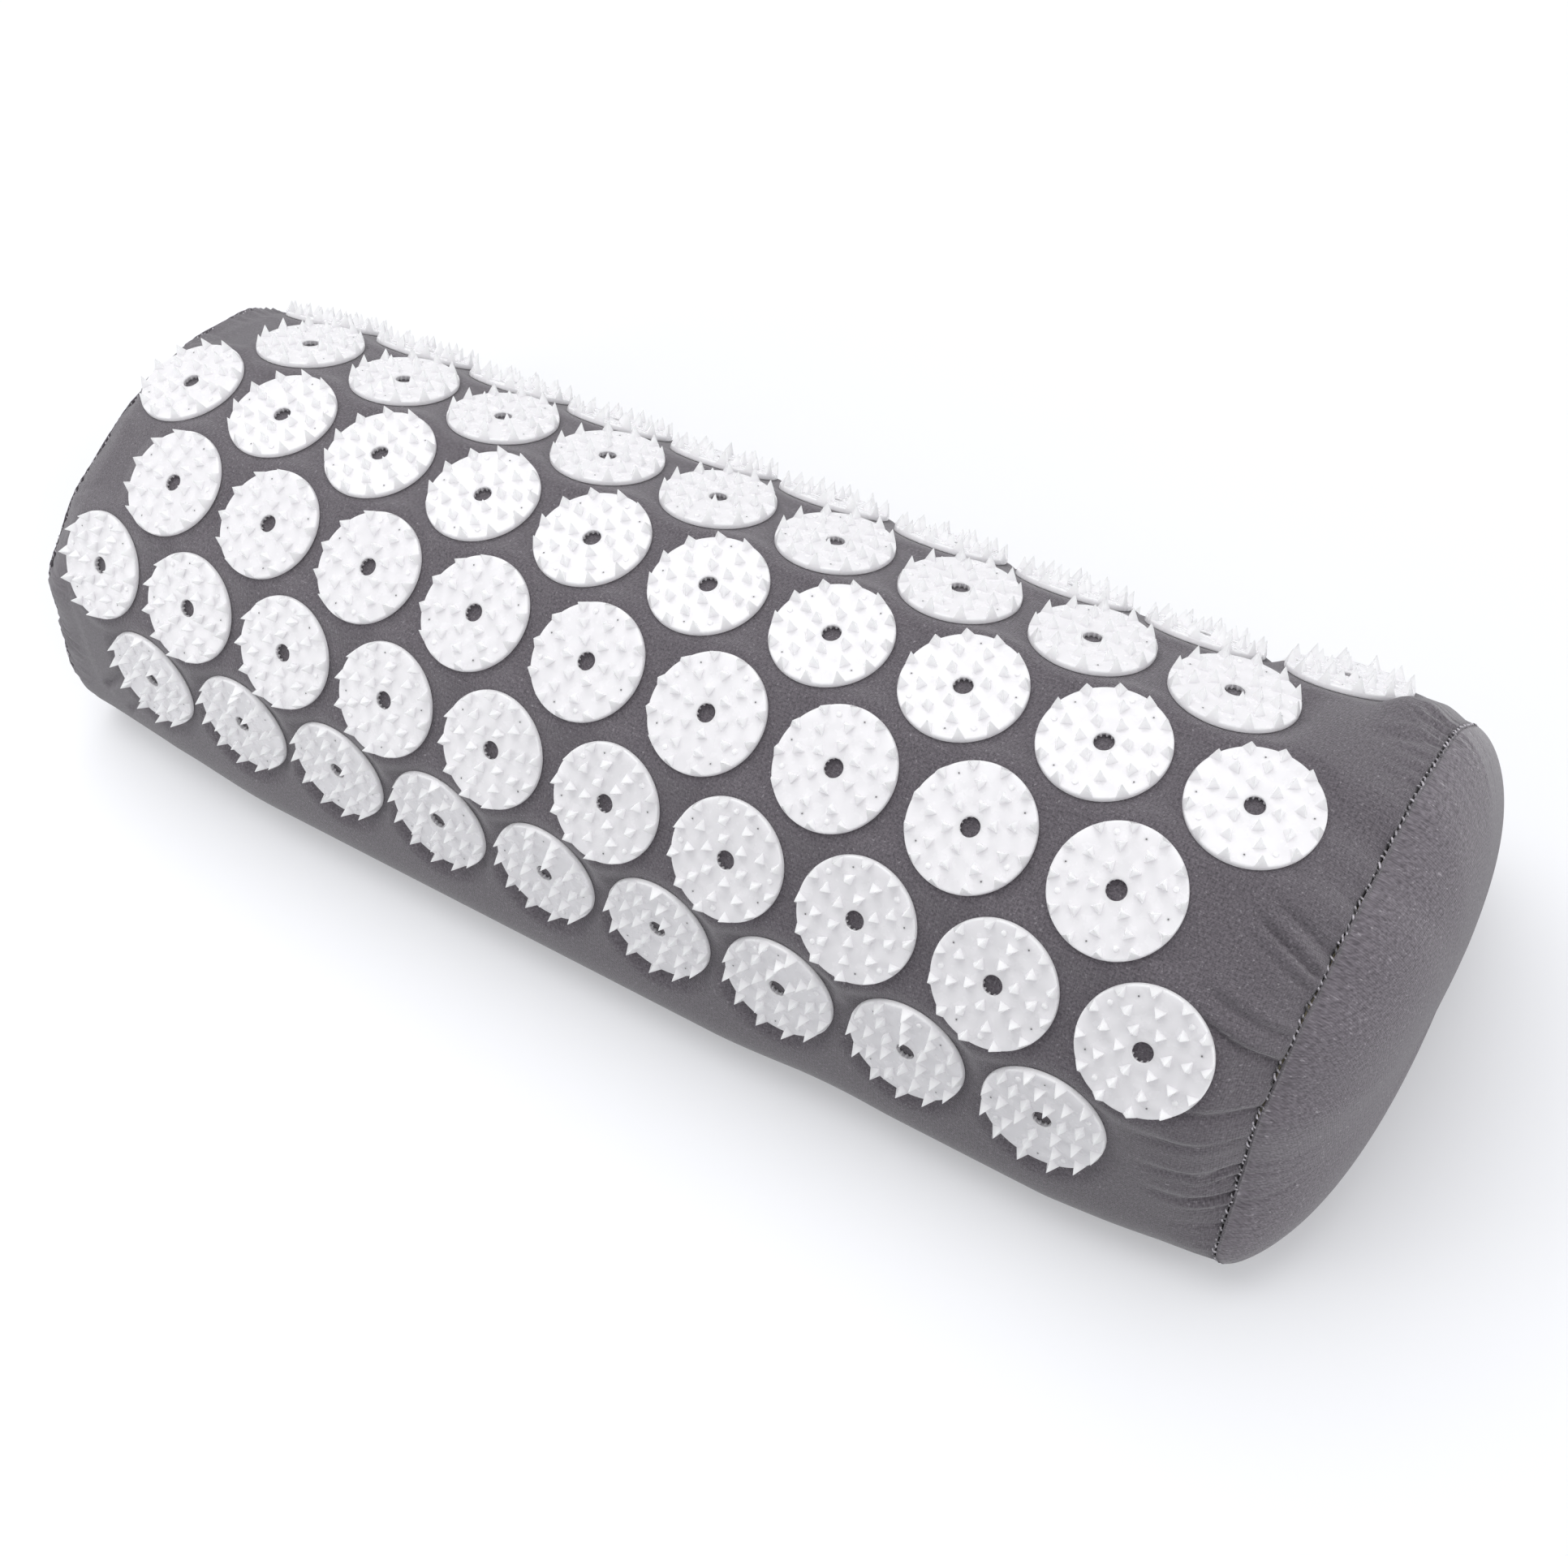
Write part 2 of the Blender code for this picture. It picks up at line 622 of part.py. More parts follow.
def build_zip_slider(collection, helpers, material):
    bm = prism_along_z(slider_plan(), SLIDER_FLOOR_Z, SLIDER_TOP_Z)
    slider = add_object("zipper_slider", closed_mesh_from(bm, "zipper_slider"), collection, material)
    for cutter in slider_cutters(helpers):
        add_boolean(slider, "DIFFERENCE", cutter)
        cutter.parent = slider
    for addition in slider_additions(helpers):
        add_boolean(slider, "UNION", addition)
        addition.parent = slider
    slider.location.x = SLIDER_REST_X
    return slider


def pull_plan():
    """The pull seen from above, from its bar on the hinge to its rounded far end."""
    bar = PULL_BAR / 2
    centre_x = bar - PULL_LENGTH + PULL_CORNER_RADIUS
    centre_y = PULL_HALF_WIDTH - PULL_CORNER_RADIUS
    half = [(bar, PULL_HALF_WIDTH)]
    for step in range(PULL_CORNER_STEPS + 1):
        angle = math.pi / 2 * (1 + step / PULL_CORNER_STEPS)
        x = centre_x + PULL_CORNER_RADIUS * math.cos(angle)
        half.append((x, centre_y + PULL_CORNER_RADIUS * math.sin(angle)))
    return half + [(x, -y) for x, y in reversed(half)]


def build_zip_pull(slider, collection, helpers, material):
    """The pull, with its origin on the hinge axis inside the slider's bridge."""
    bar = PULL_BAR / 2
    bm = prism_along_z(pull_plan(), -bar, bar)
    pull = add_object("zipper_pull_tab", closed_mesh_from(bm, "zipper_pull_tab"), collection, material)
    eye_half = PULL_EYE_HALF_WIDTH
    eye = rectangle(-bar - PULL_EYE_LENGTH, -bar, -eye_half, eye_half)
    cutter = add_helper("pull_eye", prism_along_z(eye, -CUT_OVERRUN, CUT_OVERRUN), helpers)
    add_boolean(pull, "DIFFERENCE", cutter)
    cutter.parent = pull
    pull.parent = slider
    pull.location.z = HINGE_Z


def main():
    clear_scene()
    parts = make_collection("Acupressure pillow")
    helpers = make_collection("Helpers")
    low_discs = make_collection("Lowest rows of discs")
    cloth = make_material("Grey cotton", CLOTH_GREY, 0.9)
    plastic = make_material("White plastic", PLASTIC_WHITE, 0.25)
    foam = make_material("Cream foam", FOAM_CREAM, 0.95)
    tape = make_material("Grey tape", TAPE_GREY, 0.8)
    zinc = make_material("Zinc", ZINC_GREY, 0.35, 1.0)
    build_foam_core(parts, foam)
    build_discs(parts, low_discs, plastic)
    build_cover_top(parts, cloth, low_discs)
    build_end_panel("end_panel_left", -SEAM_X, parts, cloth)
    build_end_panel("end_panel_right", SEAM_X, parts, cloth)
    build_bottom_panel("bottom_panel_front", -1, parts, cloth)
    build_bottom_panel("bottom_panel_back", 1, parts, cloth)
    build_zip_tape("zipper_tape_front", -1, parts, tape)
    build_zip_tape("zipper_tape_back", 1, parts, tape)
    build_zip_stop("zipper_stop_start", -1, parts, zinc)
    build_zip_stop("zipper_stop_end", 1, parts, zinc)
    slider = build_zip_slider(parts, helpers, zinc)
    build_zip_pull(slider, parts, helpers, zinc)


main()
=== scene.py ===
"""Looks of the acupressure neck pillow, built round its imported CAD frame.

Metres, +Z up, X along the bolster and -Y its front. The cloth panels with their stitches, the
foam, the spiked discs and the zip's tapes and coils are modelled here. The slider, the pull
and the stops stay as they are in the frame and get a bevel and a finish.
"""

import math

import bmesh
import bpy
import numpy as np
from mathutils import Matrix, Vector


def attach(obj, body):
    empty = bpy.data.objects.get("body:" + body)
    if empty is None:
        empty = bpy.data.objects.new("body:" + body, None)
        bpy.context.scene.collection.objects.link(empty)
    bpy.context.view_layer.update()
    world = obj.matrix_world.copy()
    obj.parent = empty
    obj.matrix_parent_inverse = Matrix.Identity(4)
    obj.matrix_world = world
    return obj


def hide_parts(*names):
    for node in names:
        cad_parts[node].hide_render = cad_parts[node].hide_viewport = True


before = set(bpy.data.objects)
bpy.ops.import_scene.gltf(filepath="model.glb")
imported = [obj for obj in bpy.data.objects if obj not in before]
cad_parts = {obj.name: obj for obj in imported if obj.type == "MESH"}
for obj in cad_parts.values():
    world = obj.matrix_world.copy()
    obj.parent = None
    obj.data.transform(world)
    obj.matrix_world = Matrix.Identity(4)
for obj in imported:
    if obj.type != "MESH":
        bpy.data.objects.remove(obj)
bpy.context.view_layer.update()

# Camera
CAMERA_PLACE = (0.22478, -0.20950, 0.41823)
CAMERA_FORWARD = (-0.40136, 0.42242, -0.81269)
CAMERA_UP = (-0.36903, 0.73752, 0.56559)
LENS_MM = 43.157
SENSOR_MM = 36.0
CLIP_START = 0.01

# Rows of discs, as in the frame
DISC_PITCH = 0.034
ROW_PITCH = 0.029
LONG_ROW_DISCS = 10
ROW_TILTS_DEG = (0.0, 23.6, 50.0, 76.6)
DISC_SPIN_DEG = 47.0
SEAT_GAP = 0.0003
LOW_ROW_SINK = 0.0008

# The last row but one at the back, whose discs lie more level than their strip
BACK_ROW = 2
BACK_ROW_TURN_DEG = 4.0
CORNER_DISC = "disc_row6_10"
CORNER_DISC_TURN_DEG = 10.0
CORNER_DISC_RAISE_DEG = 8.0

# One disc
DISC_RADIUS = 0.0146
PLATE_THICKNESS = 0.0015
HOLE_RADIUS = 0.00225
HOLE_LIP = 0.0004
HOLE_RECESS = 0.0005
HOLE_TEETH = 12
HOLE_TOOTH_DEPTH = 0.00048
HOLE_TOOTH_SLOPE = 2.2
HOLE_TOOTH_WIDENING = 0.1
RIM_ROUND = 0.00045
RIM_UNDER_ROUND = 0.0002
RIM_ROUND_STEPS = 4
MIDDLE_RING_SHARE = 0.6
DISC_SEGMENTS = 96
SPIKE_HEIGHT = 0.0033
SPIKE_BASE_RADIUS = 0.0018
SPIKE_ROOT = 0.0002
SPIKE_BEVEL = 0.00010
# How many spikes each ring has, and its radius
SPIKE_RINGS = ((12, 0.01362), (9, 0.0095), (6, 0.0052))
BUMP_RADIUS = 0.00078
BUMP_HEIGHT = 0.0005
BUMP_RING_RADIUS = 0.0121
BUMP_ANGLE_DEG = 15.0
PIN_RADIUS = 0.00024
PIN_PROUD = 0.00002
PIN_SIDES = 12
DOME_SHARES = (0.0, 0.45, 0.8)
QUARTERS_DEG = (0, 90, 180, 270)
SHARP_ANGLE_DEG = 40

# The bolster's body over its cloth, as in the frame
BODY_WIDTH = 0.138
BODY_HEIGHT = 0.088
COVER_LENGTH = 0.359
BASE_CORNER_RADIUS = 0.017
CORNER_STEPS = 12
BASE_WRAP = 0.003
END_LEAN_DEG = 5.0
SHOULDER_MARGIN = 0.0006

# Where the photographed bolster departs from the frame's even shape
SEAM_LIFT = 0.0012
BASE_FULLNESS_SHARE = 0.95
TILT_EASE = 0.008
LEFT_BULGE = 0.0012
RIGHT_BOW = 0.0014
RIGHT_CORNER_REACH = 0.0022
CORNER_SWELL = 0.0054
CORNER_SWELL_START_X = 0.140
CORNER_BULGE = 0.0038
CORNER_BULGE_START_X = 0.161
CORNER_BULGE_START_Y = 0.028
CORNER_BULGE_RUN = 0.016
CORNER_BULGE_FADE = 1.4

# Where the front swells out near the base: height, first and last x, and fade
SAGS = (
    (0.0030, -0.144, 0.092, 0.045),
    (0.0011, 0.070, COVER_LENGTH / 2, 0.030),
)

# The ends, which aren't alike: each value for the left one, then for the right one
SEAM_DRAWS = (0.0048, 0.0069)
BACK_DRAW_SHARES = (-0.70, -0.927)
CORNER_DRAWS = (0.0069, 0.0038)
CORNER_DRAW_HEIGHTS = (0.028, BASE_CORNER_RADIUS)
TILT_SHARES = (0.27, 0.0)
SKEW_SHARES = (0.0, 0.018)
CROWNS = (0.0080, 0.0192)
CROWN_ROUNDNESSES = (1.0, 0.62)
CROWN_LEAN_SHARES = (0.0, 0.09)
SEAM_HALF_GAPS = (0.00002, 0.00018)
STITCH_SINKS = (0.00018, 0.00004)

# Cloth
CLOTH_THICKNESS = 0.0006
SECTION_STEP = 0.00025
SECTION_SMOOTHING = 0.0032
RING_BELL_REACH = 4
LENGTH_SMOOTHING = 0.0020
LENGTH_BELL_REACH = 2.0
LENGTH_BELL_SAMPLES = 9
PRESS_MARGIN = 0.0005
PRESS_BLEND = 0.0045
PRESS_GAP = 0.00008
PUFF_HEIGHT = 0.0004
TURN_RADIUS = 0.0007
LEFT_TURN_RADIUS = 0.0001
TURN_SHARES = (0.0, 0.3, 0.65, 1.0)
SEAM_ALLOWANCE = 0.003
BASE_SEAM_HALF_GAP = 0.00008
CROWN_POWER = 2.6
WEAVE_PITCH = 0.00045

# Folds of the cloth, each from (x, arc from the top line) to another such place, then its
# depth and half width
CREASES = (
    ((0.1600, -0.0205), (0.1790, -0.0280), 0.00170, 0.0009),
    ((0.1630, -0.0165), (0.1785, -0.0215), 0.00100, 0.0008),
    ((0.1600, -0.0245), (0.1785, -0.0320), 0.00090, 0.0009),
    ((0.1545, -0.0385), (0.1770, -0.0440), 0.00120, 0.0010),
    ((0.1590, -0.0450), (0.1792, -0.0518), 0.00190, 0.0009),
    ((0.1540, -0.0700), (0.1785, -0.0665), 0.00085, 0.0011),
    ((0.1540, -0.0790), (0.1785, -0.0765), 0.00075, 0.0011),
    ((0.1560, -0.0880), (0.1785, -0.0870), 0.00075, 0.0010),
    ((0.1580, -0.0950), (0.1785, -0.0960), 0.00070, 0.0010),
    ((-0.1640, -0.0360), (-0.1785, -0.0420), 0.00045, 0.0013),
    ((-0.1480, -0.0900), (-0.1600, -0.1010), 0.00110, 0.0012),
    ((-0.1400, -0.0950), (-0.1520, -0.1060), 0.00080, 0.0012),
    ((-0.1650, 0.0200), (-0.1785, 0.0240), 0.00040, 0.0012),
    ((0.1640, 0.0300), (0.1785, 0.0350), 0.00040, 0.0012),
    ((0.1600, 0.0640), (0.1785, 0.0700), 0.00045, 0.0013),
)
CREASE_START_SLOPE = 2
CREASE_END_SHARE = 1.25
CREASE_END_SLOPE = 4
CREASE_RIDGE_SHARE = 0.45
RIDGE_ASIDE_SHARE = 2.1
RIDGE_WIDTH_SHARE = 1.4
CREASE_FADE = 0.0022
CREASE_SEAM_SHARE = 0.2
# Stretches of an end seam with fine gathers: middle and half length of the arc, and height
GATHERS = (
    (0.044, 0.016, 0.00050),
    (-0.096, 0.020, 0.00042),
    (-0.050, 0.060, 0.00010),
    (0.020, 0.060, 0.00010),
    (0.110, 0.016, 0.00030),
)
GATHER_SHORTEST = 0.0021
GATHER_LONGEST = 0.0046
GATHER_REACH = 0.0085
GATHER_BEND = 0.0012
GATHER_WAVES = 5
END_GATHER_SHARE = 0.35
SEAM_PUCKER = 0.00035
SEAM_PUCKER_REACH = 0.012
PUCKER_SHORTEST = 0.008
PUCKER_LONGEST = 0.019
GATHER_SEED = 11
PUCKER_SEED = 5

# Grid of the cloth
MIDDLE_STEP = 0.0011
END_STEP = 0.0006
END_RUN = 0.030
COVER_COLUMNS = 300
BASE_COLUMNS = 60
CROWN_RINGS = 44
CROWN_REACH_SHARE = 0.985
CROWN_STEP_POWER = 1.7

# Zip, and the valley that it lies in
ZIP_HALF_LENGTH = 0.1376
TAPE_TAIL = 0.0225
CHAIN_Z = 0.0075
VALLEY_HALF_WIDTH = 0.020
VALLEY_TOP_HALF_WIDTH = 0.013
ZIP_WINDOW_HALF_WIDTH = 0.0055
ZIP_WINDOW_END_X = 0.158
ZIP_WINDOW_CLOSING = 0.0055
CLOSED_EDGE_HALF_GAP = 0.0002
PANEL_EDGE_Z = 0.0056
HEM_WIDTH = 0.007
HEM_STEPS = 6
TAPE_HALF_WIDTH = 0.0125
TAPE_INNER_EDGE = 0.0009
TAPE_TAIL_INNER_EDGE = 0.00004
TAPE_THICKNESS = 0.0008
TAPE_EDGE_STEPS = 4
TAPE_STATIONS = 60
COIL_PITCH = 0.0014
COIL_STEPS = 10
COIL_WIRE_RADIUS = 0.00027
COIL_HEAD = 0.0003
COIL_OUTER_EDGE = 0.0034
COIL_HALF_HEIGHT = 0.0010

# Foam
FOAM_DEPTH = 0.0048
FOAM_STATION_STRIDE = 6
FOAM_RING_STRIDE = 4
FOAM_COLUMNS = 100
FOAM_BASE_COLUMNS = 30
FOAM_GROOVE_ROOF = 0.0105
FOAM_GROOVE_END_X = 0.172
FOAM_GROOVE_FADE = 0.008

# Stitches
THREAD_RADIUS = 0.00023
TUBE_SIDES = 6
SEAM_STITCH_PITCH = 0.0016
SEAM_STITCH_HALF_LENGTH = 0.00080
SEAM_STITCH_SLANT_DEG = 45.0
STITCH_DROP = 0.0005
STITCH_LENGTH_SPREAD = 0.30
STITCH_SLANT_SPREAD_DEG = 22.0
STITCH_SINK_SPREAD = 0.00012
STITCH_PLACE_SPREAD = 0.25
STITCH_SEED = 3
TOP_STITCH_PITCH = 0.0030
TOP_STITCH_LENGTH_SHARE = 0.82
TOP_STITCH_INSET = 0.0022

# Colours, each with the darker tone first
COTTON_TONES = ((0.064, 0.056, 0.065), (0.184, 0.165, 0.186))
LINT_COLOUR = (0.42, 0.395, 0.42)
# How much lighter the ends' cloth is painted: painted light on the end panels.
END_PAINTED_LIGHT_SHARE = 1.25
THREAD_TONES = ((0.05, 0.047, 0.052), (0.60, 0.57, 0.61))
PLATE_TONES = ((0.86, 0.845, 0.865), (0.93, 0.915, 0.935))
# The spikes are painted lighter than the plate: painted light for the glow of the thin spikes.
SPIKE_PAINTED_LIGHT_COLOUR = (0.985, 0.985, 0.99)
# Painted shade: the dark dots that stand in for the shade inside the pin holes.
PIN_HOLE_SHADE_TONES = ((0.16, 0.15, 0.16), (0.24, 0.23, 0.24))
# The foam's dark tone is painted shade in its pores.
FOAM_PORE_SHADE_TONES = ((0.62, 0.54, 0.36), (0.82, 0.76, 0.58))
# The tape's dark tone is painted shade in the hollows of the weave.
TAPE_WEAVE_SHADE_TONES = ((0.035, 0.033, 0.038), (0.085, 0.080, 0.090))
COIL_TONES = ((0.05, 0.048, 0.054), (0.08, 0.077, 0.085))
ZINC_TONES = ((0.44, 0.44, 0.46), (0.60, 0.60, 0.61))

# Textures: scales count features per metre, and each relief is a height in metres
COTTON_THREAD_SCALE = 2300.0
COTTON_THREAD_STRETCH = 0.60
COTTON_THREAD_RANGE = (0.37, 0.63)
# How much painted shade darkens the hollows of the weave, between the thread crossings.
COTTON_WEAVE_SHADE_SHARE = 0.22
COTTON_WEAVE_RELIEF_SHARE = 0.35
COTTON_RELIEF = 0.00022
LINT_SCALE = 1100.0
LINT_RANGE = (0.60, 0.70)
LINT_STRENGTH = 0.55
WEAVE_ROUNDNESS = 0.6
THREAD_TONE_SCALE = 900.0
THREAD_TONE_RANGE = (0.38, 0.62)
SCATTER_REACH = 0.0016
PLATE_TONE_SCALE = 160.0
PLATE_GLOSS_SCALE = 420.0
PLATE_GRAIN_SCALE = 700.0
PLATE_GRAIN = 0.00003
FOAM_CELL_SCALE = 900.0
FOAM_RELIEF = 0.0004
TAPE_WEAVE_STRETCH = 0.5
TAPE_RELIEF = 0.00015
PIN_HOLE_SHADE_SCALE = 900.0
COIL_TONE_SCALE = 500.0
ZINC_WEAR_SCALE = 650.0
ZINC_RELIEF = 0.00004
MIDDLE_RANGE = (0.3, 0.7)
METAL_BEVEL = 0.00015

# Light and floor
FLOOR_SIZE = 8.0
FLOOR_SEGMENTS = 8
FLOOR_DROP = 0.0002
FLOOR_GLOW = 0.24
FLOOR_SEEN_COLOUR = (0.965, 0.972, 1.0, 1.0)
WORLD_COLOUR = (0.95, 0.965, 1.0, 1.0)
WHITE = (1.0, 1.0, 1.0, 1.0)
AMBIENT = 0.47
KEY_DIRECTION = (-0.36, 0.25, 1.0)
KEY_ANGLE_DEG = 60.0
KEY_STRENGTH = 1.68
FILL_DIRECTION = (1.0, -0.05, 0.20)
FILL_ANGLE_DEG = 70.0
FILL_STRENGTH = 1.32
PANEL_PLACE = (-0.42, -0.42, 0.22)
PANEL_TARGET = (-0.12, -0.05, 0.04)
PANEL_WIDTH = 0.30
PANEL_POWER = 0.62

HALF_WIDTH = BODY_WIDTH / 2
MID_HEIGHT = BODY_HEIGHT / 2
SEAM_X = COVER_LENGTH / 2
BASE_EDGE_Y = HALF_WIDTH - BASE_CORNER_RADIUS
BASE_SEAM_Y = BASE_EDGE_Y - BASE_WRAP
LOWEST_ROW = len(ROW_TILTS_DEG) - 1
LAST_DISC_X = (LONG_ROW_DISCS - 1) / 2 * DISC_PITCH
LEAN_START_X = LAST_DISC_X - DISC_RADIUS
SHOULDER_START_X = LAST_DISC_X + DISC_RADIUS + SHOULDER_MARGIN
SHORTEST = 1e-12
END_NAMES = {-1: "left", 1: "right"}
SIDE_NAMES = {-1: "front", 1: "back"}
UP = np.array((0.0, 0.0, 1.0))
ALONG = np.array((1.0, 0.0, 0.0))


def add_object(name, data):
    obj = bpy.data.objects.new(name, data)
    bpy.context.scene.collection.objects.link(obj)
    return obj


def make_camera():
    forward = Vector(CAMERA_FORWARD).normalized()
    right = forward.cross(Vector(CAMERA_UP)).normalized()
    up = right.cross(forward)
    data = bpy.data.cameras.new("Camera")
    data.lens = LENS_MM
    data.sensor_width = SENSOR_MM
    data.sensor_fit = "HORIZONTAL"
    data.clip_start = CLIP_START
    camera = add_object("Camera", data)
    turn = Matrix((right, up, -forward)).transposed().to_4x4()
    camera.matrix_world = Matrix.Translation(CAMERA_PLACE) @ turn
    bpy.context.scene.camera = camera


# Small helpers for arrays of points


def smooth_step(values):
    share = np.clip(values, 0.0, 1.0)
    return share * share * (3 - 2 * share)


def rising(values, start, end):
    """0 up to the start and 1 from the end on, which may also lie the other way round."""
    return smooth_step((values - start) / (end - start))


def unit(vectors):
    return vectors / np.maximum(np.linalg.norm(vectors, axis=-1, keepdims=True), SHORTEST)


def smoothed_ring(points, step, spread):
    """A closed line of even steps, smoothed by a bell curve of the given spread."""
    reach = int(RING_BELL_REACH * spread / step)
    offsets = np.arange(-reach, reach + 1)
    weights = np.exp(-0.5 * (offsets * step / spread) ** 2)
    weights /= weights.sum()
    return sum(w * np.roll(points, -k, axis=0) for k, w in zip(offsets, weights))


def lengths_along(points):
    steps = np.linalg.norm(np.diff(points, axis=0), axis=1)
    return np.concatenate(([0.0], np.cumsum(steps)))


def interpolated(places, run, points):
    return np.stack([np.interp(places, run, column) for column in points.T], axis=1)


def resampled(points, count):
    """The line through the points, cut into count places that are evenly far apart."""
    run = lengths_along(points)
    return interpolated(np.linspace(0.0, run[-1], count), run, points)


def grid_normals(grid):
    along = np.gradient(grid, axis=0)
    across = np.gradient(grid, axis=1)
    return unit(np.cross(along, across))


def waves(places, shortest, longest, count, seed):
    """A smooth uneven wave of about unit height, the same on every run."""
    generator = np.random.default_rng(seed)
    total = np.zeros_like(places)
    for _ in range(count):
        length = generator.uniform(shortest, longest)
        phase = generator.uniform(0.0, math.tau)
        total += np.sin(math.tau * places / length + phase)
    return total / math.sqrt(count)


# Shape of the bolster


def row_edges():
    """Edges of the strips that carry the rows, down the back side."""
    y = ROW_PITCH / 2
    z = BODY_HEIGHT
    edges = [(y, z)]
    for tilt in ROW_TILTS_DEG[1:]:
        y += ROW_PITCH * math.cos(math.radians(tilt))
        z -= ROW_PITCH * math.sin(math.radians(tilt))
        edges.append((y, z))
    return edges


def corner_arc():
    arc = []
    for angle in np.linspace(0.0, math.pi / 2, CORNER_STEPS + 1):
        y = BASE_EDGE_Y + BASE_CORNER_RADIUS * math.cos(angle)
        arc.append((y, BASE_CORNER_RADIUS * (1 - math.sin(angle))))
    return arc


def section_ring():
    """The closed section as even steps from the front base seam over the top, and the step
    at which it comes to the back base seam."""
    back = row_edges() + corner_arc() + [(BASE_SEAM_Y, 0.0)]
    over = np.array([(-y, z) for y, z in reversed(back)] + back)
    over_count = round(lengths_along(over)[-1] / SECTION_STEP)
    under_count = round(2 * BASE_SEAM_Y / SECTION_STEP)
    over = resampled(over, over_count + 1)
    under = resampled(np.array([over[-1], over[0]]), under_count + 1)
    ring = np.concatenate((over[:-1], under[:-1]))
    return smoothed_ring(ring, SECTION_STEP, SECTION_SMOOTHING), over_count


SECTION, BACK_SEAM_STEP = section_ring()


def by_end(x, pair):
    """The left or the right value of a pair, by the end that x is nearer to."""
    return np.where(x < 0, *pair)


def shoulder_share(x):
    """0 over the discs, rising to 1 at the end seam, on the left along a quarter round."""
    share = np.maximum(0.0, (np.abs(x) - SHOULDER_START_X) / (SEAM_X - SHOULDER_START_X))
    quarter_round = 1 - np.sqrt(np.maximum(0.0, 1 - share**2))
    return np.where(x < 0, quarter_round, share**2)


def valley_share(x):
    return rising(np.abs(x), SHOULDER_START_X, LEAN_START_X)


def end_lean(x):
    """How far the cloth leans in under the last discs."""
    leaning = np.minimum(np.abs(x), SHOULDER_START_X) - LEAN_START_X
    return np.maximum(0.0, leaning) * math.tan(math.radians(END_LEAN_DEG))


def softened(shape, x):
    """A shape along X with its bends rounded off."""
    spreads = np.linspace(-LENGTH_BELL_REACH, LENGTH_BELL_REACH, LENGTH_BELL_SAMPLES)
    offsets = spreads * LENGTH_SMOOTHING
    weights = np.exp(-0.5 * (offsets / LENGTH_SMOOTHING) ** 2)
    total = sum(w * shape(np.clip(x + o, -SEAM_X, SEAM_X)) for o, w in zip(offsets, weights))
    return total / weights.sum()


def seam_draw(x, y, z):
    """How far an end seam is drawn in, more or less towards the back and less at the base."""
    back = y / np.maximum(np.hypot(y, z - MID_HEIGHT), SECTION_STEP)
    draw = by_end(x, SEAM_DRAWS) * (1 + by_end(x, BACK_DRAW_SHARES) * back)
    low = rising(z, MID_HEIGHT, 0.0)
    corner = by_end(x, CORNER_DRAWS) * rising(z, by_end(x, CORNER_DRAW_HEIGHTS), 0.0)
    return draw * (1 - BASE_FULLNESS_SHARE * low) + corner


def end_shift(x, y, z):
    """How far an end stands out of square: the left one leans in towards its top and bulges,
    and the right one is turned a little and bowed in down its front, above a full corner."""
    skew = by_end(x, SKEW_SHARES) * y
    rise = np.maximum(0.0, z - MID_HEIGHT)
    tilt = by_end(x, TILT_SHARES) * rise**2 / (rise + TILT_EASE)
    level = np.clip(z / BODY_HEIGHT, 0.0, 1.0)
    front = smooth_step(-y / BASE_SEAM_Y)
    bow = by_end(x, (LEFT_BULGE, RIGHT_BOW * front)) * 4 * level * (1 - level)
    base = rising(z, BASE_CORNER_RADIUS, 0.0)
    reach = by_end(x, (0.0, RIGHT_CORNER_REACH * front)) * base
    return (skew + tilt + reach - bow) * rising(np.abs(x), LEAN_START_X, SEAM_X)


def corner_swell(x, y, z):
    """How far the cloth stands out at the upper back corner of the right end, most of all
    beside the last disc."""
    along = rising(x, CORNER_SWELL_START_X, SHOULDER_START_X)
    around = smooth_step(2 * y / HALF_WIDTH) * smooth_step(z / MID_HEIGHT)
    beside = rising(x, CORNER_BULGE_START_X, SHOULDER_START_X)
    beside = beside * smooth_step(CORNER_BULGE_FADE * (SEAM_X - x) / (SEAM_X - SHOULDER_START_X))
    high = smooth_step((y - CORNER_BULGE_START_Y) / CORNER_BULGE_RUN)
    return (CORNER_SWELL * along + CORNER_BULGE * beside * high) * around


def front_sag(x, y, z):
    """How far the front swells out near the base, under the bolster's own weight."""
    total = 0.0
    for height, start, end, fade in SAGS:
        total += height * (smooth_step((x - start) / fade) * smooth_step((end - x) / fade))
    return total * (rising(z, MID_HEIGHT, 0.0) * smooth_step(-y / BASE_SEAM_Y))


def on_skin(xs, y, z):
    """Points of the section at each x, where the bolster's skin lies. The ends are a little
    out of square, as in the photo."""
    x = xs[:, None]
    y, z = np.broadcast_arrays(y, z)
    lean = softened(end_lean, x)
    share = softened(shoulder_share, x)
    drawn = lean + (seam_draw(x, y, z) - lean) * share
    top_share = smooth_step(0.5 + (z - MID_HEIGHT) / MID_HEIGHT)
    lifted = SEAM_LIFT * share
    down = lifted + (drawn - lifted) * top_share
    swell = corner_swell(x, y, z)
    drawn = drawn - swell
    down = down - swell * top_share
    across = y * (1 - drawn / HALF_WIDTH)
    points = np.empty((len(xs), y.shape[-1], 3))
    points[..., 0] = x + end_shift(x, across, z)
    points[..., 1] = across - front_sag(x, y, z)
    points[..., 2] = MID_HEIGHT + (z - MID_HEIGHT) * (1 - down / MID_HEIGHT)
    return points


# Places of the discs, worked out as in the frame but for one back row


def frame_skin(x, point):
    """A point of the frame's skin under the discs, where no seam draws it in."""
    lean = float(end_lean(np.array(x)))
    down = lean if point[1] > MID_HEIGHT else 0.0
    y = point[0] * (1 - lean / HALF_WIDTH)
    return Vector((x, y, MID_HEIGHT + (point[1] - MID_HEIGHT) * (1 - down / MID_HEIGHT)))


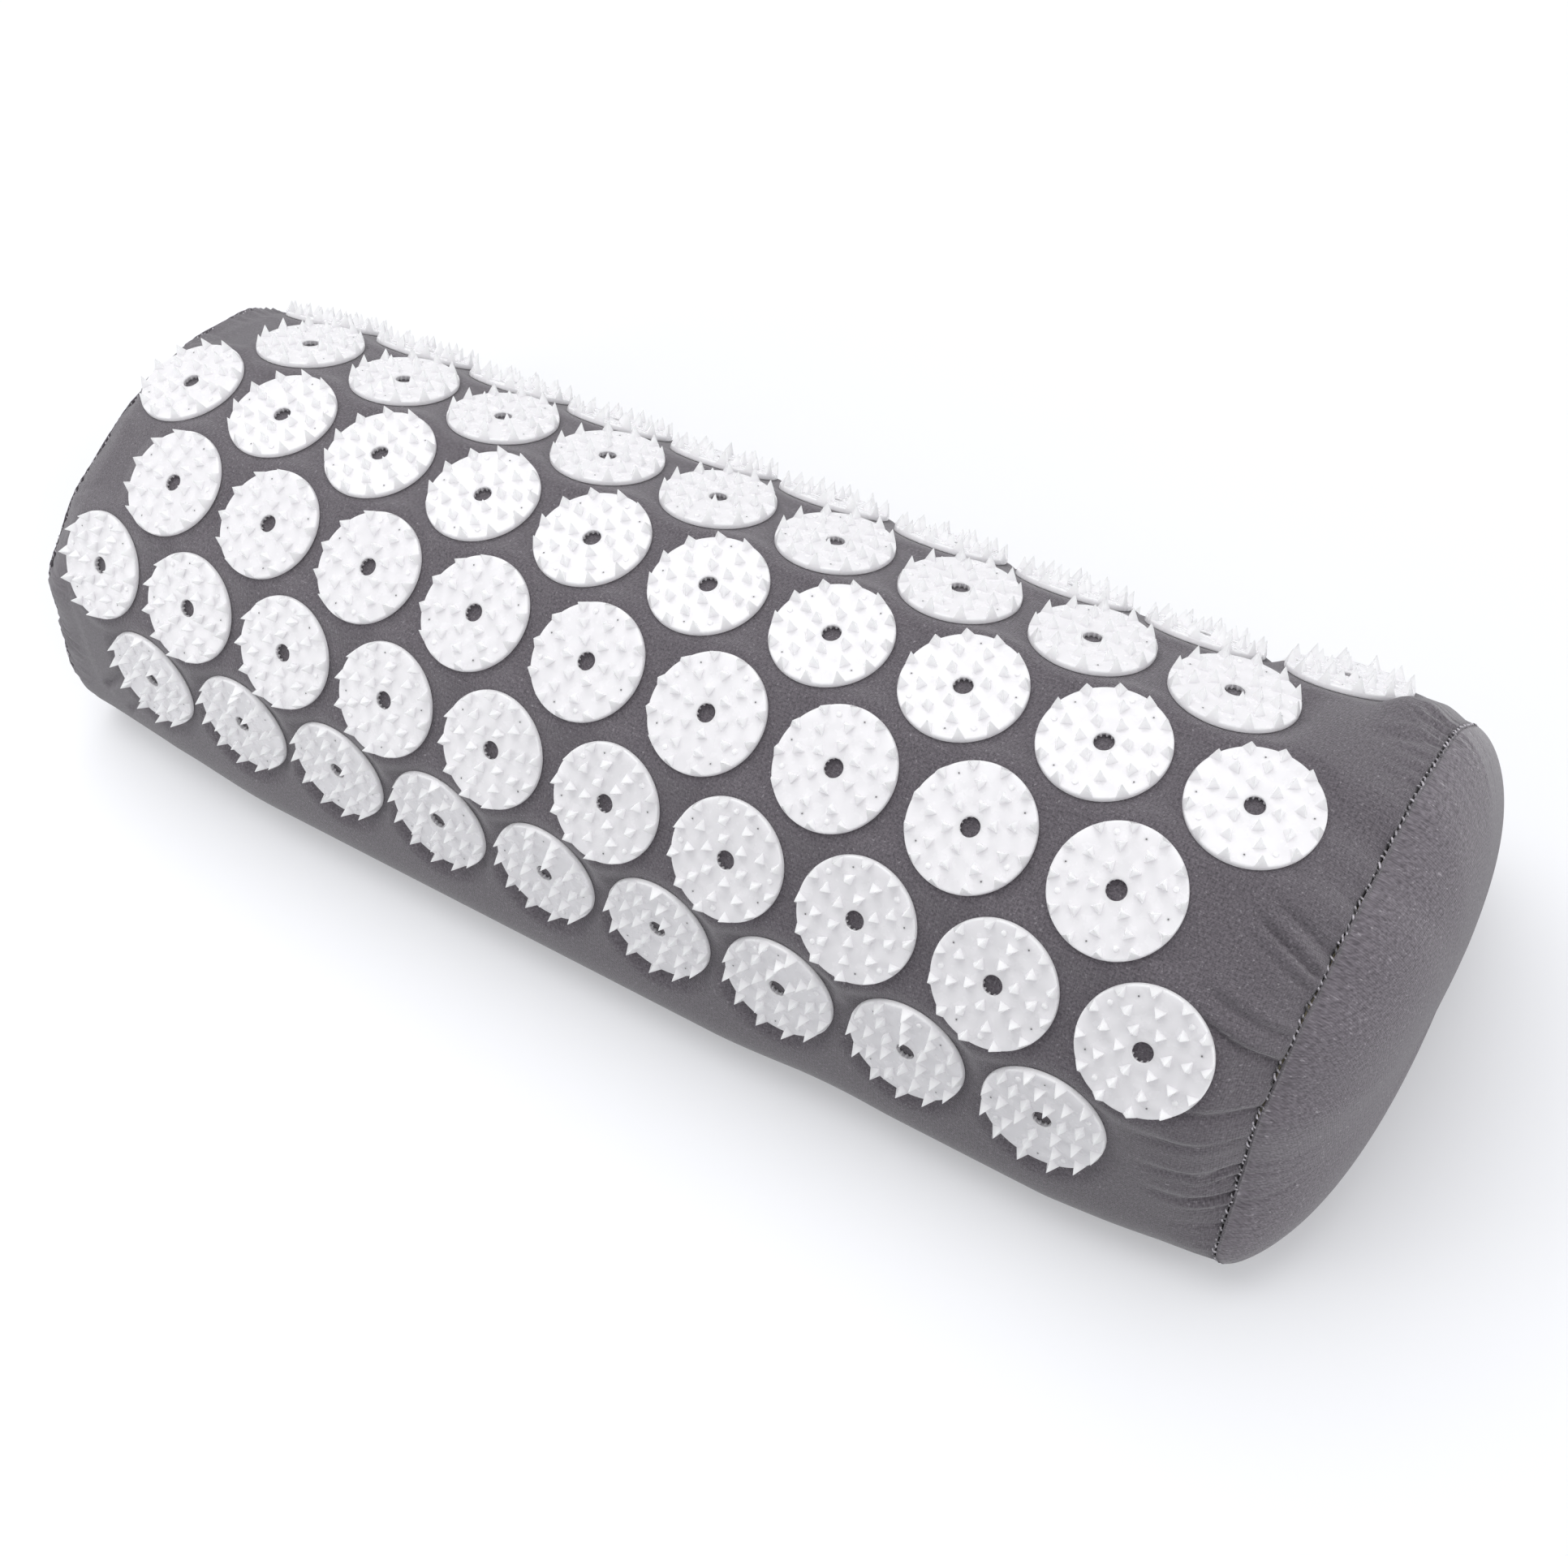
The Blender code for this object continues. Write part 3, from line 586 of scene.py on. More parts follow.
def strip_at(x, row):
    edges = row_edges()
    if row == 0:
        near, far = (-edges[0][0], edges[0][1]), edges[0]
    elif row > 0:
        near, far = edges[row - 1], edges[row]
    else:
        near, far = [(-y, z) for y, z in (edges[-row], edges[-row - 1])]
    return frame_skin(x, near), frame_skin(x, far)


def disc_place(x, row, gap):
    """Where a disc sits: flat on its strip, gap above the highest point of the skin there."""
    left_near, left_far = strip_at(x - DISC_RADIUS, row)
    right_near, right_far = strip_at(x + DISC_RADIUS, row)
    middle = (left_near + left_far + right_near + right_far) / 4
    along = (right_near + right_far - left_near - left_far).normalized()
    normal = along.cross(left_far + right_far - left_near - right_near).normalized()
    bends = [side * bend for side in (-1, 1) for bend in (LEAN_START_X, SHOULDER_START_X)]
    places = [x - DISC_RADIUS, x + DISC_RADIUS] + [b for b in bends if abs(b - x) < DISC_RADIUS]
    heights = [(point - middle).dot(normal) for place in places for point in strip_at(place, row)]
    seat = middle + normal * (max(heights) + gap)
    across = normal.cross(along)
    return Matrix.Translation(seat) @ Matrix((along, across, normal)).transposed().to_4x4()


def turned_about_rim(place, rim, axis, angle_deg):
    """The place turned about a point of the disc's rim, so that the far side stands higher."""
    to_rim = Matrix.Translation(rim)
    turn = Matrix.Rotation(math.radians(angle_deg), 4, axis)
    return place @ to_rim @ turn @ to_rim.inverted()


def settled(place, name, row):
    """How a disc lies on the cloth. Those of one back row lie more level than their strip."""
    if row != BACK_ROW:
        return place
    front_rim = (0.0, -DISC_RADIUS, 0.0)
    if name != CORNER_DISC:
        return turned_about_rim(place, front_rim, "X", BACK_ROW_TURN_DEG)
    place = turned_about_rim(place, front_rim, "X", CORNER_DISC_TURN_DEG)
    return turned_about_rim(place, (-DISC_RADIUS, 0.0, 0.0), "Y", -CORNER_DISC_RAISE_DEG)


def disc_places():
    """Name, place and whether the disc is in a lowest row, for each disc of the seven rows."""
    places = []
    for row in range(-LOWEST_ROW, LOWEST_ROW + 1):
        is_low = abs(row) == LOWEST_ROW
        count = LONG_ROW_DISCS - abs(row) % 2
        for index in range(count):
            x = (index - (count - 1) / 2) * DISC_PITCH
            place = disc_place(x, row, -LOW_ROW_SINK if is_low else SEAT_GAP)
            spin = Matrix.Rotation(math.radians(DISC_SPIN_DEG * len(places)), 4, "Z")
            name = f"disc_row{row + LOWEST_ROW + 1}_{index + 1:02d}"
            places.append((name, settled(place, name, row) @ spin, is_low))
    return places


DISCS = disc_places()


def crease_depth(xs, arcs):
    """How far the long creases press the cloth in, with a soft ridge beside each."""
    total = np.zeros((len(xs), len(arcs)))
    x, arc = np.meshgrid(xs, arcs, indexing="ij")
    for start, end, depth, half_width in CREASES:
        run_x, run_arc = end[0] - start[0], end[1] - start[1]
        length = math.hypot(run_x, run_arc)
        share = ((x - start[0]) * run_x + (arc - start[1]) * run_arc) / length**2
        aside = ((arc - start[1]) * run_x - (x - start[0]) * run_arc) / length
        taper = smooth_step(share * CREASE_START_SLOPE)
        taper = taper * smooth_step((CREASE_END_SHARE - share) * CREASE_END_SLOPE)
        valley = np.exp(-((aside / half_width) ** 2))
        from_ridge = aside - RIDGE_ASIDE_SHARE * half_width
        ridge = np.exp(-((from_ridge / (RIDGE_WIDTH_SHARE * half_width)) ** 2))
        total += taper * depth * (CREASE_RIDGE_SHARE * ridge - valley)
    at_seam = smooth_step((SEAM_X - np.abs(x)) / CREASE_FADE)
    return total * (CREASE_SEAM_SHARE + (1 - CREASE_SEAM_SHARE) * at_seam)


def seam_gathers(from_seam, arcs, side):
    """Fine gathers and wider puckers that fade away from an end seam."""
    envelope = np.zeros_like(arcs)
    for middle, half_length, height in GATHERS:
        envelope += height * np.exp(-(((arcs - middle) / half_length) ** 2))
    bend = waves(from_seam, GATHER_REACH, 2 * GATHER_REACH, 2, GATHER_SEED)[:, None]
    turned = waves(arcs, GATHER_REACH, 3 * GATHER_REACH, 2, GATHER_SEED)[None]
    curved = arcs[None] + GATHER_BEND * bend * turned
    fine = waves(curved, GATHER_SHORTEST, GATHER_LONGEST, GATHER_WAVES, GATHER_SEED + side)
    wide = waves(arcs, PUCKER_SHORTEST, PUCKER_LONGEST, GATHER_WAVES, PUCKER_SEED + side)
    fine_fade = np.exp(-((from_seam / GATHER_REACH) ** 2))
    wide_fade = np.exp(-((from_seam / SEAM_PUCKER_REACH) ** 2))
    fine_part = fine_fade[:, None] * envelope[None] * fine
    return fine_part + wide_fade[:, None] * SEAM_PUCKER * wide[None]


def press_under_discs(grid):
    """Moves the cloth onto the underside of the discs, and lets it swell a little between."""
    moved = np.zeros_like(grid)
    total = np.zeros(grid.shape[:2])
    for _, place, _ in DISCS:
        centre = np.array(place.translation)
        normal = np.array(place.col[2][:3])
        offset = grid - centre
        height = offset @ normal
        distance = np.linalg.norm(offset - height[..., None] * normal, axis=-1)
        share = 1 - smooth_step((distance - DISC_RADIUS - PRESS_MARGIN) / PRESS_BLEND)
        share = np.where(np.abs(height) < DISC_RADIUS / 2, share, 0.0)
        moved += (share * (-height - PRESS_GAP))[..., None] * normal
        total += share
    pressed = grid + moved / np.maximum(total, 1.0)[..., None]
    inside = smooth_step((SHOULDER_START_X - np.abs(grid[..., 0])) / PRESS_BLEND)
    puff = PUFF_HEIGHT * inside * np.clip(1 - total, 0.0, 1.0)
    puff *= smooth_step((grid[..., 2] - BASE_CORNER_RADIUS) / BASE_CORNER_RADIUS)
    return pressed + grid_normals(grid) * puff[..., None]


# Cloth panels as closed shells


def turned_rows(edge, before, inward, half_gap_move):
    """Rows that round a panel's edge into its seam and run on inside it."""
    tangent = unit(edge - before)
    is_left_end = edge[:, 0].max() < 0.0
    radius = LEFT_TURN_RADIUS if is_left_end else TURN_RADIUS
    start = edge - tangent * radius
    end = edge + inward * radius
    rows = []
    for share in TURN_SHARES:
        bend = (1 - share) ** 2 * start + 2 * share * (1 - share) * edge + share**2 * end
        rows.append(bend)
    rows.append(edge + inward * SEAM_ALLOWANCE)
    return [row + half_gap_move for row in rows]


def turn_last_row(grid, inward, half_gap_move):
    rows = turned_rows(grid[-1], grid[-2], inward, half_gap_move)
    return np.concatenate((grid[:-1], np.stack(rows)))


def towards_middle(edge):
    """Directions in the seam's own plane, from an end seam to the bolster's middle line."""
    inward = np.array((0.0, 0.0, MID_HEIGHT)) - edge
    inward[:, 0] = 0.0
    return unit(inward)


def signed_gap(x):
    """Half the gap of the end seam at x, with the sign of its side."""
    return by_end(x, SEAM_HALF_GAPS) * np.sign(x)


def turn_ends(grid):
    """Turns both ends of a panel that runs along X into the end seams."""
    for _ in range(2):
        edge = grid[-1]
        inward = towards_middle(edge)
        away = ALONG * -signed_gap(edge[0, 0])
        grid = turn_last_row(grid, inward, away)[::-1]
    return grid


def turn_side(rows):
    """Turns a panel's last long row up into its base seam."""
    away = np.sign(rows[-2] - rows[-1]) * np.array((0.0, BASE_SEAM_HALF_GAP, 0.0))
    return turn_last_row(rows, UP, away)


def turn_sides(grid):
    """Turns both long edges of a panel up into the base seams."""
    swapped = grid.transpose(1, 0, 2)
    for _ in range(2):
        swapped = turn_side(swapped)[::-1]
    return swapped.transpose(1, 0, 2)


def grid_faces(rows, columns, closed, first=0, flipped=False):
    last = columns if closed else columns - 1
    index = first + np.arange(rows * columns).reshape(rows, columns)
    low = index[:-1, :last]
    high = index[1:, :last]
    after = np.roll(index, -1, axis=1)
    low_after = after[:-1, :last]
    high_after = after[1:, :last]
    order = (low, low_after, high_after, high) if flipped else (low, high, high_after, low_after)
    return np.stack(order, axis=-1).reshape(-1, 4).tolist()


def end_caps(rows, columns, first=0):
    """The faces that close a tube's two ends."""
    last = first + (rows - 1) * columns
    return [list(range(first, first + columns)), list(range(last, last + columns))[::-1]]


def border_faces(loop_out, loop_in):
    pairs = zip(loop_out, loop_out[1:] + loop_out[:1], loop_in, loop_in[1:] + loop_in[:1])
    return [(out, low, low_after, out_after) for out, out_after, low, low_after in pairs]


def make_mesh(name, points, faces, weave=None):
    mesh = bpy.data.meshes.new(name)
    mesh.from_pydata(np.asarray(points).reshape(-1, 3).tolist(), [], faces)
    if weave is not None:
        attribute = mesh.attributes.new("weave", "FLOAT_VECTOR", "POINT")
        attribute.data.foreach_set("vector", np.asarray(weave, np.float32).ravel())
    mesh.validate()
    mesh.shade_smooth()
    return mesh


def open_shell(name, grid, weave):
    """A closed cloth shell from an open grid of points on its outside."""
    rows, columns = grid.shape[:2]
    inner = grid - grid_normals(grid) * CLOTH_THICKNESS
    count = rows * columns
    faces = grid_faces(rows, columns, False) + grid_faces(rows, columns, False, count, True)
    index = np.arange(count).reshape(rows, columns)
    loop = np.concatenate((index[0, :-1], index[:-1, -1], index[-1, :0:-1], index[:0:-1, 0]))
    faces += border_faces(loop.tolist(), (loop + count).tolist())
    points = np.concatenate((grid.reshape(-1, 3), inner.reshape(-1, 3)))
    return make_mesh(name, points, faces, np.tile(weave.reshape(-1, 3), (2, 1)))


def domed_shell(name, grid, weave, flipped):
    """A closed cloth shell from rings that shrink towards a middle point."""
    rows, columns = grid.shape[:2]
    around = np.concatenate((grid[:, -1:], grid, grid[:, :1]), axis=1)
    normals = grid_normals(around)[:, 1:-1] * (-1 if flipped else 1)
    inner = grid - normals * CLOTH_THICKNESS
    count = rows * columns
    faces = grid_faces(rows, columns, True, 0, flipped)
    faces += grid_faces(rows, columns, True, count, not flipped)
    middle = grid[-1].mean(axis=0)
    middle_in = inner[-1].mean(axis=0)
    for start, centre, turned in ((0, 2 * count, flipped), (count, 2 * count + 1, not flipped)):
        last_row = start + (rows - 1) * columns
        for step in range(columns):
            pair = (last_row + step, last_row + (step + 1) % columns)
            faces.append((*pair, centre) if turned else (pair[1], pair[0], centre))
    edge = list(range(columns))[:: -1 if flipped else 1]
    faces += border_faces(edge, [count + k for k in edge])
    points = np.concatenate((grid.reshape(-1, 3), inner.reshape(-1, 3), [middle, middle_in]))
    flat = weave.reshape(-1, 3)
    ends = np.stack([weave[-1].mean(axis=0)] * 2)
    return make_mesh(name, points, faces, np.concatenate((flat, flat, ends)))


def weave_of(along, across):
    """Places on the flat cloth, in metres, for the weave of the material."""
    u, v = np.meshgrid(along, across, indexing="ij")
    return np.stack((u, v, np.zeros_like(u)), axis=-1)


def flattened(grid):
    flat = grid.copy()
    flat[..., 2] = 0.0
    return flat


def add_piece(mesh, material, replaced=()):
    obj = add_object(mesh.name, mesh)
    mesh.materials.append(material)
    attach(obj, "pillow")
    if replaced:
        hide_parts(*replaced)
    return obj


def long_stations():
    """Places along X, closer together towards the ends, with a longer last step."""
    inner_end = SEAM_X - END_RUN
    half = list(np.arange(0.0, inner_end, MIDDLE_STEP))
    half += list(np.linspace(inner_end, SEAM_X - 2 * TURN_RADIUS, round(END_RUN / END_STEP)))
    half.append(SEAM_X)
    return np.array([-x for x in half[:0:-1]] + half)


def end_columns(places):
    """The places without the two next to each end, to leave room for the turned edge."""
    keep = [0, *range(3, len(places) - 3), len(places) - 1]
    return places[keep]


def build_cover(material):
    xs = long_stations()
    ring = end_columns(resampled(SECTION[: BACK_SEAM_STEP + 1], COVER_COLUMNS))
    arcs = lengths_along(ring)
    arcs -= arcs[-1] / 2
    grid = press_under_discs(on_skin(xs, *ring.T))
    folds = crease_depth(xs, arcs)
    for side in (-1, 1):
        folds += seam_gathers(np.maximum(0.0, SEAM_X - side * xs), arcs, side)
    grid += grid_normals(grid) * folds[..., None]
    grid = turn_ends(turn_sides(grid))
    turned = len(TURN_SHARES)
    weave = weave_of(extended(xs, turned), extended(arcs, turned))
    mesh = open_shell("cover_top_cloth", grid, weave)
    cover = add_piece(mesh, material, ["cover_top_panel"])


def extended(places, count):
    """Places of a flat pattern with its turned edges added at both ends."""
    steps = np.arange(1, count + 1) * (SEAM_ALLOWANCE / count)
    return np.concatenate((places[0] - steps[::-1], places, places[-1] + steps))


def crown_shares():
    """Shares of the seam ring, from the seam to the middle of the crowned end."""
    steps = np.linspace(0.0, 1.0, CROWN_RINGS)
    return 1 - CROWN_REACH_SHARE * steps**CROWN_STEP_POWER


def crowned_rings(ring, x, shares, depth=0.0):
    """Rings from an end seam that shrink to the middle and bulge outwards, less by a depth."""
    rise = by_end(x, CROWNS) - depth
    middle = np.array((x, 0.0, MID_HEIGHT))
    out = rise * (1 - shares**CROWN_POWER) ** by_end(x, CROWN_ROUNDNESSES)
    grid = middle + (ring[None] - middle) * shares[:, None, None]
    lean = by_end(x, CROWN_LEAN_SHARES) * (grid[..., 2] - MID_HEIGHT) / MID_HEIGHT
    grid[..., 0] += math.copysign(1.0, x) * out[:, None] * (1 + lean)
    return grid


def closed_ring(columns, base_columns):
    over = resampled(SECTION[: BACK_SEAM_STEP + 1], columns)
    under = resampled(np.array([over[-1], over[0]]), base_columns)
    return np.concatenate((over[:-1], under[:-1]))


def build_end(side, material):
    x = side * SEAM_X
    ring = closed_ring(COVER_COLUMNS, BASE_COLUMNS)
    seam = on_skin(np.array([x]), *ring.T)[0]
    shares = crown_shares()
    grid = crowned_rings(seam, x, shares)
    arcs = lengths_along(ring) - lengths_along(ring[:COVER_COLUMNS])[-1] / 2
    from_seam = (1 - shares) * MID_HEIGHT
    folds = seam_gathers(from_seam, arcs, side) * -END_GATHER_SHARE
    folds[:, COVER_COLUMNS:] = 0.0
    grid += grid_normals(grid) * side * folds[..., None]
    away = ALONG * signed_gap(x)
    grid = turn_last_row(grid[::-1], towards_middle(seam), away)[::-1]
    name = "end_panel_" + END_NAMES[side]
    mesh = domed_shell(name + "_cloth", grid, flattened(grid[..., [1, 2, 0]]), side < 0)
    end = add_piece(mesh, material, [name])


def build_base_panel(side, material):
    """A flat base panel whose inner edge rises to the zip and is folded back over itself."""
    xs = long_stations()
    valley = valley_share(xs)[:, None]
    opening = smooth_step((ZIP_WINDOW_END_X - np.abs(xs)) / ZIP_WINDOW_CLOSING)[:, None]
    edge = CLOSED_EDGE_HALF_GAP + (ZIP_WINDOW_HALF_WIDTH - CLOSED_EDGE_HALF_GAP) * opening
    shares = np.linspace(0.0, 1.0, BASE_COLUMNS)[None]
    y = BASE_SEAM_Y + (edge - BASE_SEAM_Y) * shares
    rise = rising(y, VALLEY_HALF_WIDTH, VALLEY_TOP_HALF_WIDTH)
    grid = on_skin(xs, side * y, PANEL_EDGE_Z * valley * rise)
    swapped = turn_side(grid.transpose(1, 0, 2)[::-1])[::-1]
    grid = turn_ends(folded_edge(swapped, side))
    if side < 0:
        grid = grid[:, ::-1]
    name = "bottom_panel_" + SIDE_NAMES[side]
    mesh = open_shell(name + "_cloth", grid, flattened(grid))
    panel = add_piece(mesh, material, [name])


def folded_edge(swapped, side):
    """Adds the hem to a panel's long rows, and gives the panel back as a grid: the cloth goes
    round the edge and back outwards on the inside."""
    out = np.array((0.0, side, 0.0))
    reach = CLOTH_THICKNESS
    rows = []
    for angle in np.linspace(0.0, math.pi, HEM_STEPS + 1)[1:]:
        round_off = out * (-reach * math.sin(angle)) + UP * (reach * (1 - math.cos(angle)))
        rows.append(swapped[-1] + round_off)
    rows.append(rows[-1] + out * HEM_WIDTH)
    return np.concatenate((swapped, np.stack(rows))).transpose(1, 0, 2)


def build_foam(material):
    """The foam inside the cover, with a groove over the zip."""
    xs = long_stations()[1 : -1 : FOAM_STATION_STRIDE]
    ring = closed_ring(FOAM_COLUMNS, FOAM_BASE_COLUMNS)
    middle = np.array((0.0, MID_HEIGHT))
    reach = np.linalg.norm(ring - middle, axis=1, keepdims=True)
    ring = middle + (ring - middle) * (1 - FOAM_DEPTH / reach)
    ring[:, 1] = np.maximum(ring[:, 1], FOAM_DEPTH)
    body = on_skin(xs, *ring.T)
    inside = smooth_step((VALLEY_HALF_WIDTH + FOAM_DEPTH - np.abs(body[..., 1])) / HEM_WIDTH)
    along = smooth_step((FOAM_GROOVE_END_X - np.abs(xs)) / FOAM_GROOVE_FADE)
    roof = FOAM_GROOVE_ROOF * inside * along[:, None]
    under = body[..., 2] < MID_HEIGHT
    body[..., 2] = np.where(under, np.maximum(body[..., 2], roof), body[..., 2])
    shares = crown_shares()[1::FOAM_RING_STRIDE]
    left, right = (crowned_rings(body[k], xs[k], shares, FOAM_DEPTH) for k in (0, -1))
    grid = np.concatenate((left[::-1], body, right))
    size = grid.shape[:2]
    mesh = make_mesh("foam_core_block", grid, grid_faces(*size, True) + end_caps(*size))
    foam = add_piece(mesh, material, ["foam_core"])


# Discs


def tooth_share(angle):
    """1 on a tooth of the centre hole and 0 between two teeth, with short slopes."""
    wave = HOLE_TOOTH_SLOPE * math.cos(HOLE_TEETH * angle) + HOLE_TOOTH_WIDENING
    return float(smooth_step(np.array(wave)))


def disc_profile():
    """The plate's section from the hole's lower edge over the top to the lower rim, as
    radius, height and how much of the hole's teeth the ring follows."""
    top = PLATE_THICKNESS
    hole = HOLE_RADIUS
    profile = [
        (hole + HOLE_RECESS, 0.0, 1.0),
        (hole + HOLE_RECESS, top - HOLE_LIP, 1.0),
        (hole, top - HOLE_LIP, 0.0),
        (hole, top - RIM_UNDER_ROUND, 0.0),
        (hole + RIM_UNDER_ROUND, top, 0.0),
        (DISC_RADIUS * MIDDLE_RING_SHARE, top, 0.0),
    ]
    for step in range(RIM_ROUND_STEPS + 1):
        angle = math.pi / 2 * step / RIM_ROUND_STEPS
        radius = DISC_RADIUS - RIM_ROUND * (1 - math.sin(angle))
        profile.append((radius, top - RIM_ROUND * (1 - math.cos(angle)), 0.0))
    profile.append((DISC_RADIUS, RIM_UNDER_ROUND, 0.0))
    profile.append((DISC_RADIUS - RIM_UNDER_ROUND, 0.0, 0.0))
    return profile


def add_plate(bm):
    angles = [math.tau * step / DISC_SEGMENTS for step in range(DISC_SEGMENTS)]
    rings = []
    for radius, height, follow in disc_profile():
        ring = []
        for angle in angles:
            reach = radius - follow * HOLE_TOOTH_DEPTH * tooth_share(angle)
            ring.append(bm.verts.new((reach * math.cos(angle), reach * math.sin(angle), height)))
        rings.append(ring)
    for inner, outer in zip(rings, rings[1:] + rings[:1]):
        for step in range(DISC_SEGMENTS):
            after = (step + 1) % DISC_SEGMENTS
            bm.faces.new((inner[step], outer[step], outer[after], inner[after]))


def add_pyramid(bm, angle, ring_radius):
    """A three-sided spike with one corner towards the middle, rooted in the plate."""
    centre = Vector((math.cos(angle), math.sin(angle), 0.0)) * ring_radius
    root = PLATE_THICKNESS - SPIKE_ROOT
    corners = []
    for turn in (math.pi, math.pi * 5 / 3, math.pi / 3):
        x = centre.x + SPIKE_BASE_RADIUS * math.cos(angle + turn)
        y = centre.y + SPIKE_BASE_RADIUS * math.sin(angle + turn)
        corners.append(bm.verts.new((x, y, root)))
    tip = bm.verts.new((centre.x, centre.y, PLATE_THICKNESS + SPIKE_HEIGHT))
    edges = []
    for index, corner in enumerate(corners):
        after = corners[(index + 1) % len(corners)]
        bm.faces.new((corner, after, tip))
        edges.append(bm.edges.get((corner, tip)))
    bm.faces.new(corners[::-1])
    return edges


def add_dome(bm, centre, radius, height, material_index=0):
    """A low round bump, or a flat dot if its height is next to nothing."""
    root = bm.verts.new((centre.x, centre.y, PLATE_THICKNESS - SPIKE_ROOT))
    previous = None
    for share in DOME_SHARES:
        reach = radius * math.cos(math.pi / 2 * share)
        z = PLATE_THICKNESS + height * math.sin(math.pi / 2 * share)
        z = PLATE_THICKNESS - SPIKE_ROOT if share == 0 else z
        ring = []
        for step in range(PIN_SIDES):
            angle = math.tau * step / PIN_SIDES
            place = (centre.x + reach * math.cos(angle), centre.y + reach * math.sin(angle), z)
            ring.append(bm.verts.new(place))
        for step in range(PIN_SIDES):
            after = (step + 1) % PIN_SIDES
            if previous is None:
                face = bm.faces.new((root, ring[after], ring[step]))
            else:
                face = bm.faces.new((previous[step], previous[after], ring[after], ring[step]))
            face.material_index = material_index
        previous = ring
    bm.faces.new(previous).material_index = material_index


def quarter_places(start_deg):
    """Four places round the disc, between its spikes."""
    angles = [math.radians(start_deg + quarter) for quarter in QUARTERS_DEG]
    return [Vector((math.cos(a), math.sin(a), 0.0)) * BUMP_RING_RADIUS for a in angles]


def add_spikes_and_bumps(bm):
    edges = []
    for count, ring_radius in SPIKE_RINGS:
        for index in range(count):
            edges += add_pyramid(bm, math.tau * index / count, ring_radius)
    bmesh.ops.bevel(bm, geom=edges, offset=SPIKE_BEVEL, segments=2, affect="EDGES")
    for centre in quarter_places(BUMP_ANGLE_DEG):
        add_dome(bm, centre, BUMP_RADIUS, BUMP_HEIGHT)


def temporary_object(name, build):
    bm = bmesh.new()
    build(bm)
    bmesh.ops.recalc_face_normals(bm, faces=bm.faces)
    mesh = bpy.data.meshes.new(name)
    bm.to_mesh(mesh)
    bm.free()
    return add_object(name, mesh)


def joined_mesh(first, second):
    """The union of two objects as one mesh. Both objects are taken away."""
    union = first.modifiers.new("Union", "BOOLEAN")
    union.operation = "UNION"
    union.solver = "EXACT"
    union.use_self = True
    union.object = second
    depsgraph = bpy.context.evaluated_depsgraph_get()
    mesh = bpy.data.meshes.new_from_object(first.evaluated_get(depsgraph))
    for obj in (first, second):
        bpy.data.objects.remove(obj)
    return mesh


def build_disc_mesh(plastic, shade):
    """A plate whose spikes and bumps grow out of it without hidden faces, with four dark dots
    of painted shade for its pin holes."""
    plate = temporary_object("plate_alone", add_plate)
    mesh = joined_mesh(plate, temporary_object("spikes_alone", add_spikes_and_bumps))
    mesh.name = "spiked_disc"
    bm = bmesh.new()
    bm.from_mesh(mesh)
    # Dark dots just proud of the plate: painted shade for the pin holes.
    for centre in quarter_places(-BUMP_ANGLE_DEG):
        add_dome(bm, centre, PIN_RADIUS, PIN_PROUD, 1)
    bmesh.ops.recalc_face_normals(bm, faces=bm.faces)
    bm.to_mesh(mesh)
    bm.free()
    mesh.shade_smooth()
    mesh.set_sharp_from_angle(angle=math.radians(SHARP_ANGLE_DEG))
    mesh.materials.append(plastic)
    mesh.materials.append(shade)
    return mesh


def build_discs(plastic, shade):
    mesh = build_disc_mesh(plastic, shade)
    for name, place, is_low in DISCS:
        disc = add_object(name + "_moulded", mesh)
        disc.matrix_world = place
        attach(disc, "pillow")
        if not is_low:
            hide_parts(name)


# Thread, coils and tapes


def tube_mesh(name, paths, references, radius, sides):
    """One mesh of round tubes, each along a path. A reference is a direction that its path
    never runs in."""
    points, faces = [], []
    turns = np.arange(sides) * math.tau / sides
    for path, reference in zip(paths, references):
        tangents = unit(np.gradient(path, axis=0))
        first = unit(np.cross(tangents, reference))
        second = np.cross(tangents, first)
        ring = np.cos(turns)[None, :, None] * first[:, None]
        ring = ring + np.sin(turns)[None, :, None] * second[:, None]
        base = sum(len(p) for p in points)
        points.append((path[:, None] + radius * ring).reshape(-1, 3))
        faces += grid_faces(len(path), sides, True, base)
        faces += end_caps(len(path), sides, base)
    return make_mesh(name, np.concatenate(points), faces)


def seam_stitches(name, seam, across, outward, sink, material):
    """Short slanted threads that bridge a seam, a little unevenly along it."""
    run = lengths_along(seam)
    count = int(run[-1] / SEAM_STITCH_PITCH)
    generator = np.random.default_rng(STITCH_SEED)
    spread = generator.uniform(-1.0, 1.0, (4, count))
    places = (np.arange(count) + 0.5 + STITCH_PLACE_SPREAD * spread[3]) * run[-1] / count
    line = interpolated(places, run, seam)
    cross = unit(interpolated(places, run, across))
    out = unit(interpolated(places, run, outward))
    slant = np.radians(SEAM_STITCH_SLANT_DEG + STITCH_SLANT_SPREAD_DEG * spread[0])[:, None]
    slanted = cross * np.cos(slant) + np.cross(cross, out) * np.sin(slant)
    half_lengths = SEAM_STITCH_HALF_LENGTH * (1 + STITCH_LENGTH_SPREAD * spread[1])
    sinks = sink + STITCH_SINK_SPREAD * spread[2]
    shares = np.linspace(-1.0, 1.0, 5)
    paths = []
    for centre, side, up, half_length, low in zip(line, slanted, out, half_lengths, sinks):
        reach = shares[:, None] * half_length * side
        drop = (shares[:, None] ** 2) * STITCH_DROP * up
        paths.append(centre + reach - drop - up * low)
    references = np.cross(slanted, out)
    mesh = tube_mesh(name, paths, references, THREAD_RADIUS, TUBE_SIDES)
    add_piece(mesh, material)


